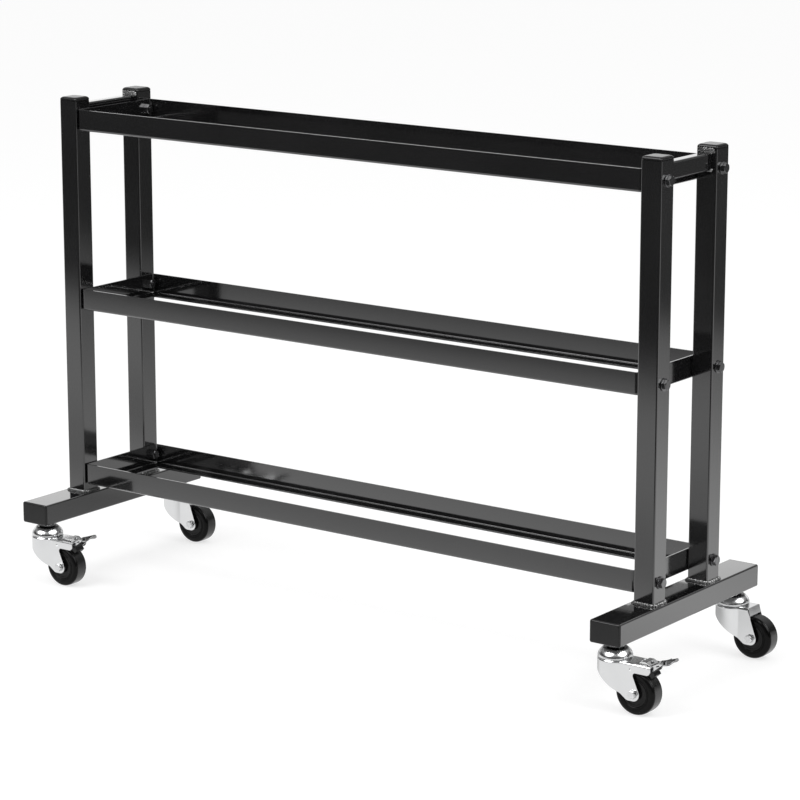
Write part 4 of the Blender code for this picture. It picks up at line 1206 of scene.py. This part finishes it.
def casters():
    """All four casters. The two at the front have brakes."""
    stem, axle = stem_mesh(), axle_mesh()
    tyre, tread, core = map(both_halves, wheel_halves())
    forks = {end: fork_mesh(end == "front") for end, _ in ENDS}
    pedal, shoe = pedal_mesh(), shoe_mesh()
    for side, _ in SIDES:
        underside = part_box(f"{side}_foot")[0].z
        for end, _ in ENDS:
            corner = f"{side}_{end}"
            kingpin = middle(f"{corner}_caster_stem")
            hang = at(kingpin.x, kingpin.y, underside)
            across = hang @ at(TRAIL, 0, AXLE_HEIGHT) @ Matrix.Rotation(pi / 2, 4, "X")
            kit = [
                ("raceway", stem, SHADE_PAINTED_RACEWAY_ZINC, "", "caster_stem", hang),
                ("fork_pressing", forks[end], ZINC, "fork", "caster_fork", hang),
                ("axle_bolt", axle, BOLT_ZINC, "fork", "caster_axle", across),
                ("tyre", tyre, RUBBER, "wheel", "caster_wheel", across),
                ("tread", tread, TREAD, "wheel", "caster_wheel", across),
                ("core", core, CORE_PLASTIC, "wheel", "caster_wheel", across),
                ("pedal", pedal, SHADE_PAINTED_PEDAL_ZINC, "brake", "brake_pedal", hang),
                ("shoe", shoe, CAP_PLASTIC, "brake", "brake_shoe", hang),
            ]
            for part, mesh, coat, body, node, where in kit:
                if body != "brake" or end == "front":
                    rides_on = f"{corner}_{body}" if body else "cart_frame"
                    place(f"{corner}_{part}", mesh, coat, [f"{corner}_{node}"], where, rides_on)


# Studio


SOFTBOXES = {"softbox_left": (-112.0, 85.0), "softbox_right": (5.0, 65.0)}
SOFTBOX_RISE = 46.0
SOFTBOX_DISTANCE = 5.0
SOFTBOX_SIZE = 2.4
SOFTBOX_SPREAD = (7.0, 29.0)
AIM_HEIGHT = 0.4
CAMERA_SPOT = (3.2208, -4.3459, 1.6526)
CAMERA_WAY = (-0.57943, 0.78385, -0.22325)
LENS = 137.556
PAPER = (0.8, 0.8, 0.8, 1.0)
PAPER_SEEN = (0.42, 0.42, 0.42, 1.0)
PAPER_SIZE = 60.0
PAPER_DROP = 0.0004
PAPER_GLOW = 0.66
PAPER_DARKEST = 0.05
EVEN_LIGHT = 0.72
BOX_GLOW = 6.5
GLEAM_GLOW = 0.6

# Azimuth, elevation, inner angle and outer angle in degrees
BACKDROP = (126.5, 6.0, 34.0, 60.0)
GLEAM = (52.0, -2.0, 7.0, 14.0)


def way_to(azimuth, elevation):
    """The direction of an azimuth and an elevation in degrees."""
    turn, rise = radians(azimuth), radians(elevation)
    return Vector((cos(turn) * cos(rise), sin(turn) * cos(rise), sin(rise)))


def ramp(tree, value, span, levels=(0.0, 1.0)):
    """A smooth change from one level to another while a value crosses its span."""
    return spread(tree, value, span, levels, "SMOOTHSTEP")


def ray_kinds(tree):
    """Whether a ray comes from the camera, and whether it comes off a mirror."""
    rays = add(tree, "LightPath").outputs
    mirror_ray = math_node(tree, "MAXIMUM", rays["Is Glossy Ray"], rays["Is Transmission Ray"])
    return rays["Is Camera Ray"], mirror_ray


def toward(tree, direction, azimuth, elevation, inner, outer):
    """1 within the inner angle of a direction given in degrees, falling to 0 at the outer angle."""
    sockets = {0: direction, 1: way_to(azimuth, elevation)}
    dot = add(tree, "VectorMath", sockets, operation="DOT_PRODUCT").outputs["Value"]
    return ramp(tree, dot, (cos(radians(outer)), cos(radians(inner))))


def floor():
    """A pale sheet of paper under the cart, pure white to the camera. To mirrors it glows with a painted
    reflection of a lit floor, dark beyond its edges, with a painted shadow under the cart.

    Each ramp runs over metres along the floor, from one brightness in mirrors to another.
    """
    bpy.ops.mesh.primitive_plane_add(size=PAPER_SIZE, location=(0, 0, -PAPER_DROP))
    sheet = bpy.context.object
    sheet.name = "studio_floor"
    material = bpy.data.materials.new("paper")
    material.use_nodes = True
    tree = material.node_tree
    tree.nodes.remove(tree.nodes["Principled BSDF"])
    camera_ray, mirror_ray = ray_kinds(tree)
    matt = out(tree, "BsdfDiffuse", {0: mixed_colour(tree, camera_ray, PAPER, PAPER_SEEN)})
    white = out(tree, "Emission", {1: times(tree, camera_ray, PAPER_GLOW)})
    seen = out(tree, "AddShader", {0: matt, 1: white})
    across, deep, _ = add(tree, "SeparateXYZ", {0: object_spot(tree)}).outputs
    # Painted reflection: bright and dark zones of the floor, seen only in mirrors.
    slant = math_node(tree, "MULTIPLY_ADD", deep, -0.6, across)
    slant = ramp(tree, slant, (0.1, 0.8), (0.72, 1.04))
    behind = ramp(tree, deep, (0.3, 2.6), (1.04, 0.44))
    rear_edge = ramp(tree, deep, (2.3, 2.95), (1.0, 0.22))
    rear = times(tree, slant, behind, rear_edge)
    far = ramp(tree, deep, (-1.4, -0.9), (0.14, 0.0))
    near = ramp(tree, deep, (-0.80, -0.45), (0.62, 0.92))
    skew = math_node(tree, "SUBTRACT", deep, ramp(tree, across, (-0.3, 0.5), (0.0, 1.05)))
    front_edge = ramp(tree, skew, (-2.55, -1.85), (0.09, 1.0))
    front = times(tree, math_node(tree, "ADD", far, near), front_edge)
    paper = mixed_number(tree, ramp(tree, deep, (0.1, 0.5)), front, rear)
    # Painted shadow of the cart on the floor, seen only in mirrors.
    off_middle = math_node(tree, "ABSOLUTE", math_node(tree, "ADD", deep, -0.15))
    shadow_depth = ramp(tree, off_middle, (0.15, 0.45), (0.5, 0.0))
    shadow_length = ramp(tree, math_node(tree, "ABSOLUTE", across), (0.3, 0.7), (1.0, 0.0))
    shade = times(tree, shadow_depth, shadow_length)
    paper = times(tree, paper, math_node(tree, "SUBTRACT", 1.0, shade))
    painted_reflection = out(tree, "Emission", {1: math_node(tree, "MAXIMUM", paper, PAPER_DARKEST)})
    both = out(tree, "MixShader", {0: mirror_ray, 1: seen, 2: painted_reflection})
    fill(tree, tree.nodes["Material Output"], {0: both})
    sheet.data.materials.append(material)


def world():
    """A studio: even soft light, white to the camera, with a bright backdrop and two soft boxes for metal."""
    room = bpy.data.worlds.new("studio")
    bpy.context.scene.world = room
    room.use_nodes = True
    tree = room.node_tree
    camera_ray, mirror_ray = ray_kinds(tree)
    direction = add(tree, "TexCoord").outputs["Generated"]
    rise = add(tree, "SeparateXYZ", {0: direction}).outputs[2]
    fade = ramp(tree, rise, (0.25, 0.38), (1.05, 0.15))
    sky = times(tree, toward(tree, direction, *BACKDROP), fade)
    boxes = [(azimuth, SOFTBOX_RISE, *SOFTBOX_SPREAD) for azimuth, _ in SOFTBOXES.values()]
    boxes = [toward(tree, direction, *box) for box in boxes]
    boxes = times(tree, math_node(tree, "ADD", *boxes), BOX_GLOW)
    overhead = ramp(tree, rise, (0.25, 0.60), (0.05, 0.38))
    beside = times(tree, toward(tree, direction, *GLEAM), GLEAM_GLOW)
    for light in (boxes, overhead, beside):
        sky = math_node(tree, "ADD", sky, light)
    even = mixed_number(tree, mirror_ray, EVEN_LIGHT, sky)
    strength = mixed_number(tree, camera_ray, even, 1.0)
    fill(tree, tree.nodes["Background"], {0: (1, 1, 1, 1), 1: strength})


def softbox(name, azimuth, power):
    """A square soft light on the side where metal shows its patch, aimed at the middle of the cart."""
    light = bpy.data.lights.new(name, "AREA")
    light.shape = "SQUARE"
    light.size = SOFTBOX_SIZE
    light.energy = power
    lamp = bpy.data.objects.new(name, light)
    away = way_to(azimuth, SOFTBOX_RISE)
    lamp.location = Vector((0, 0, AIM_HEIGHT)) + SOFTBOX_DISTANCE * away
    lamp.visible_glossy = False
    lamp.rotation_mode = "QUATERNION"
    lamp.rotation_quaternion = (-away).to_track_quat("-Z", "Y")
    bpy.context.scene.collection.objects.link(lamp)


def camera():
    """The camera, where the photograph was taken from."""
    data = bpy.data.cameras.new("camera")
    data.lens = LENS
    data.sensor_width = 36.0
    data.clip_start = 0.05
    data.clip_end = 80.0
    view = bpy.data.objects.new("camera", data)
    view.location = CAMERA_SPOT
    view.rotation_mode = "QUATERNION"
    view.rotation_quaternion = Vector(CAMERA_WAY).to_track_quat("-Z", "Y")
    bpy.context.scene.collection.objects.link(view)
    bpy.context.scene.camera = view


camera()
floor()
world()
for box_name, (box_azimuth, box_power) in SOFTBOXES.items():
    softbox(box_name, box_azimuth, box_power)
bpy.context.scene.view_settings.view_transform = "Standard"
side_frames()
for shelf_name in SHELVES:
    shelf(shelf_name)
shelf_bolts()
welds()
casters()
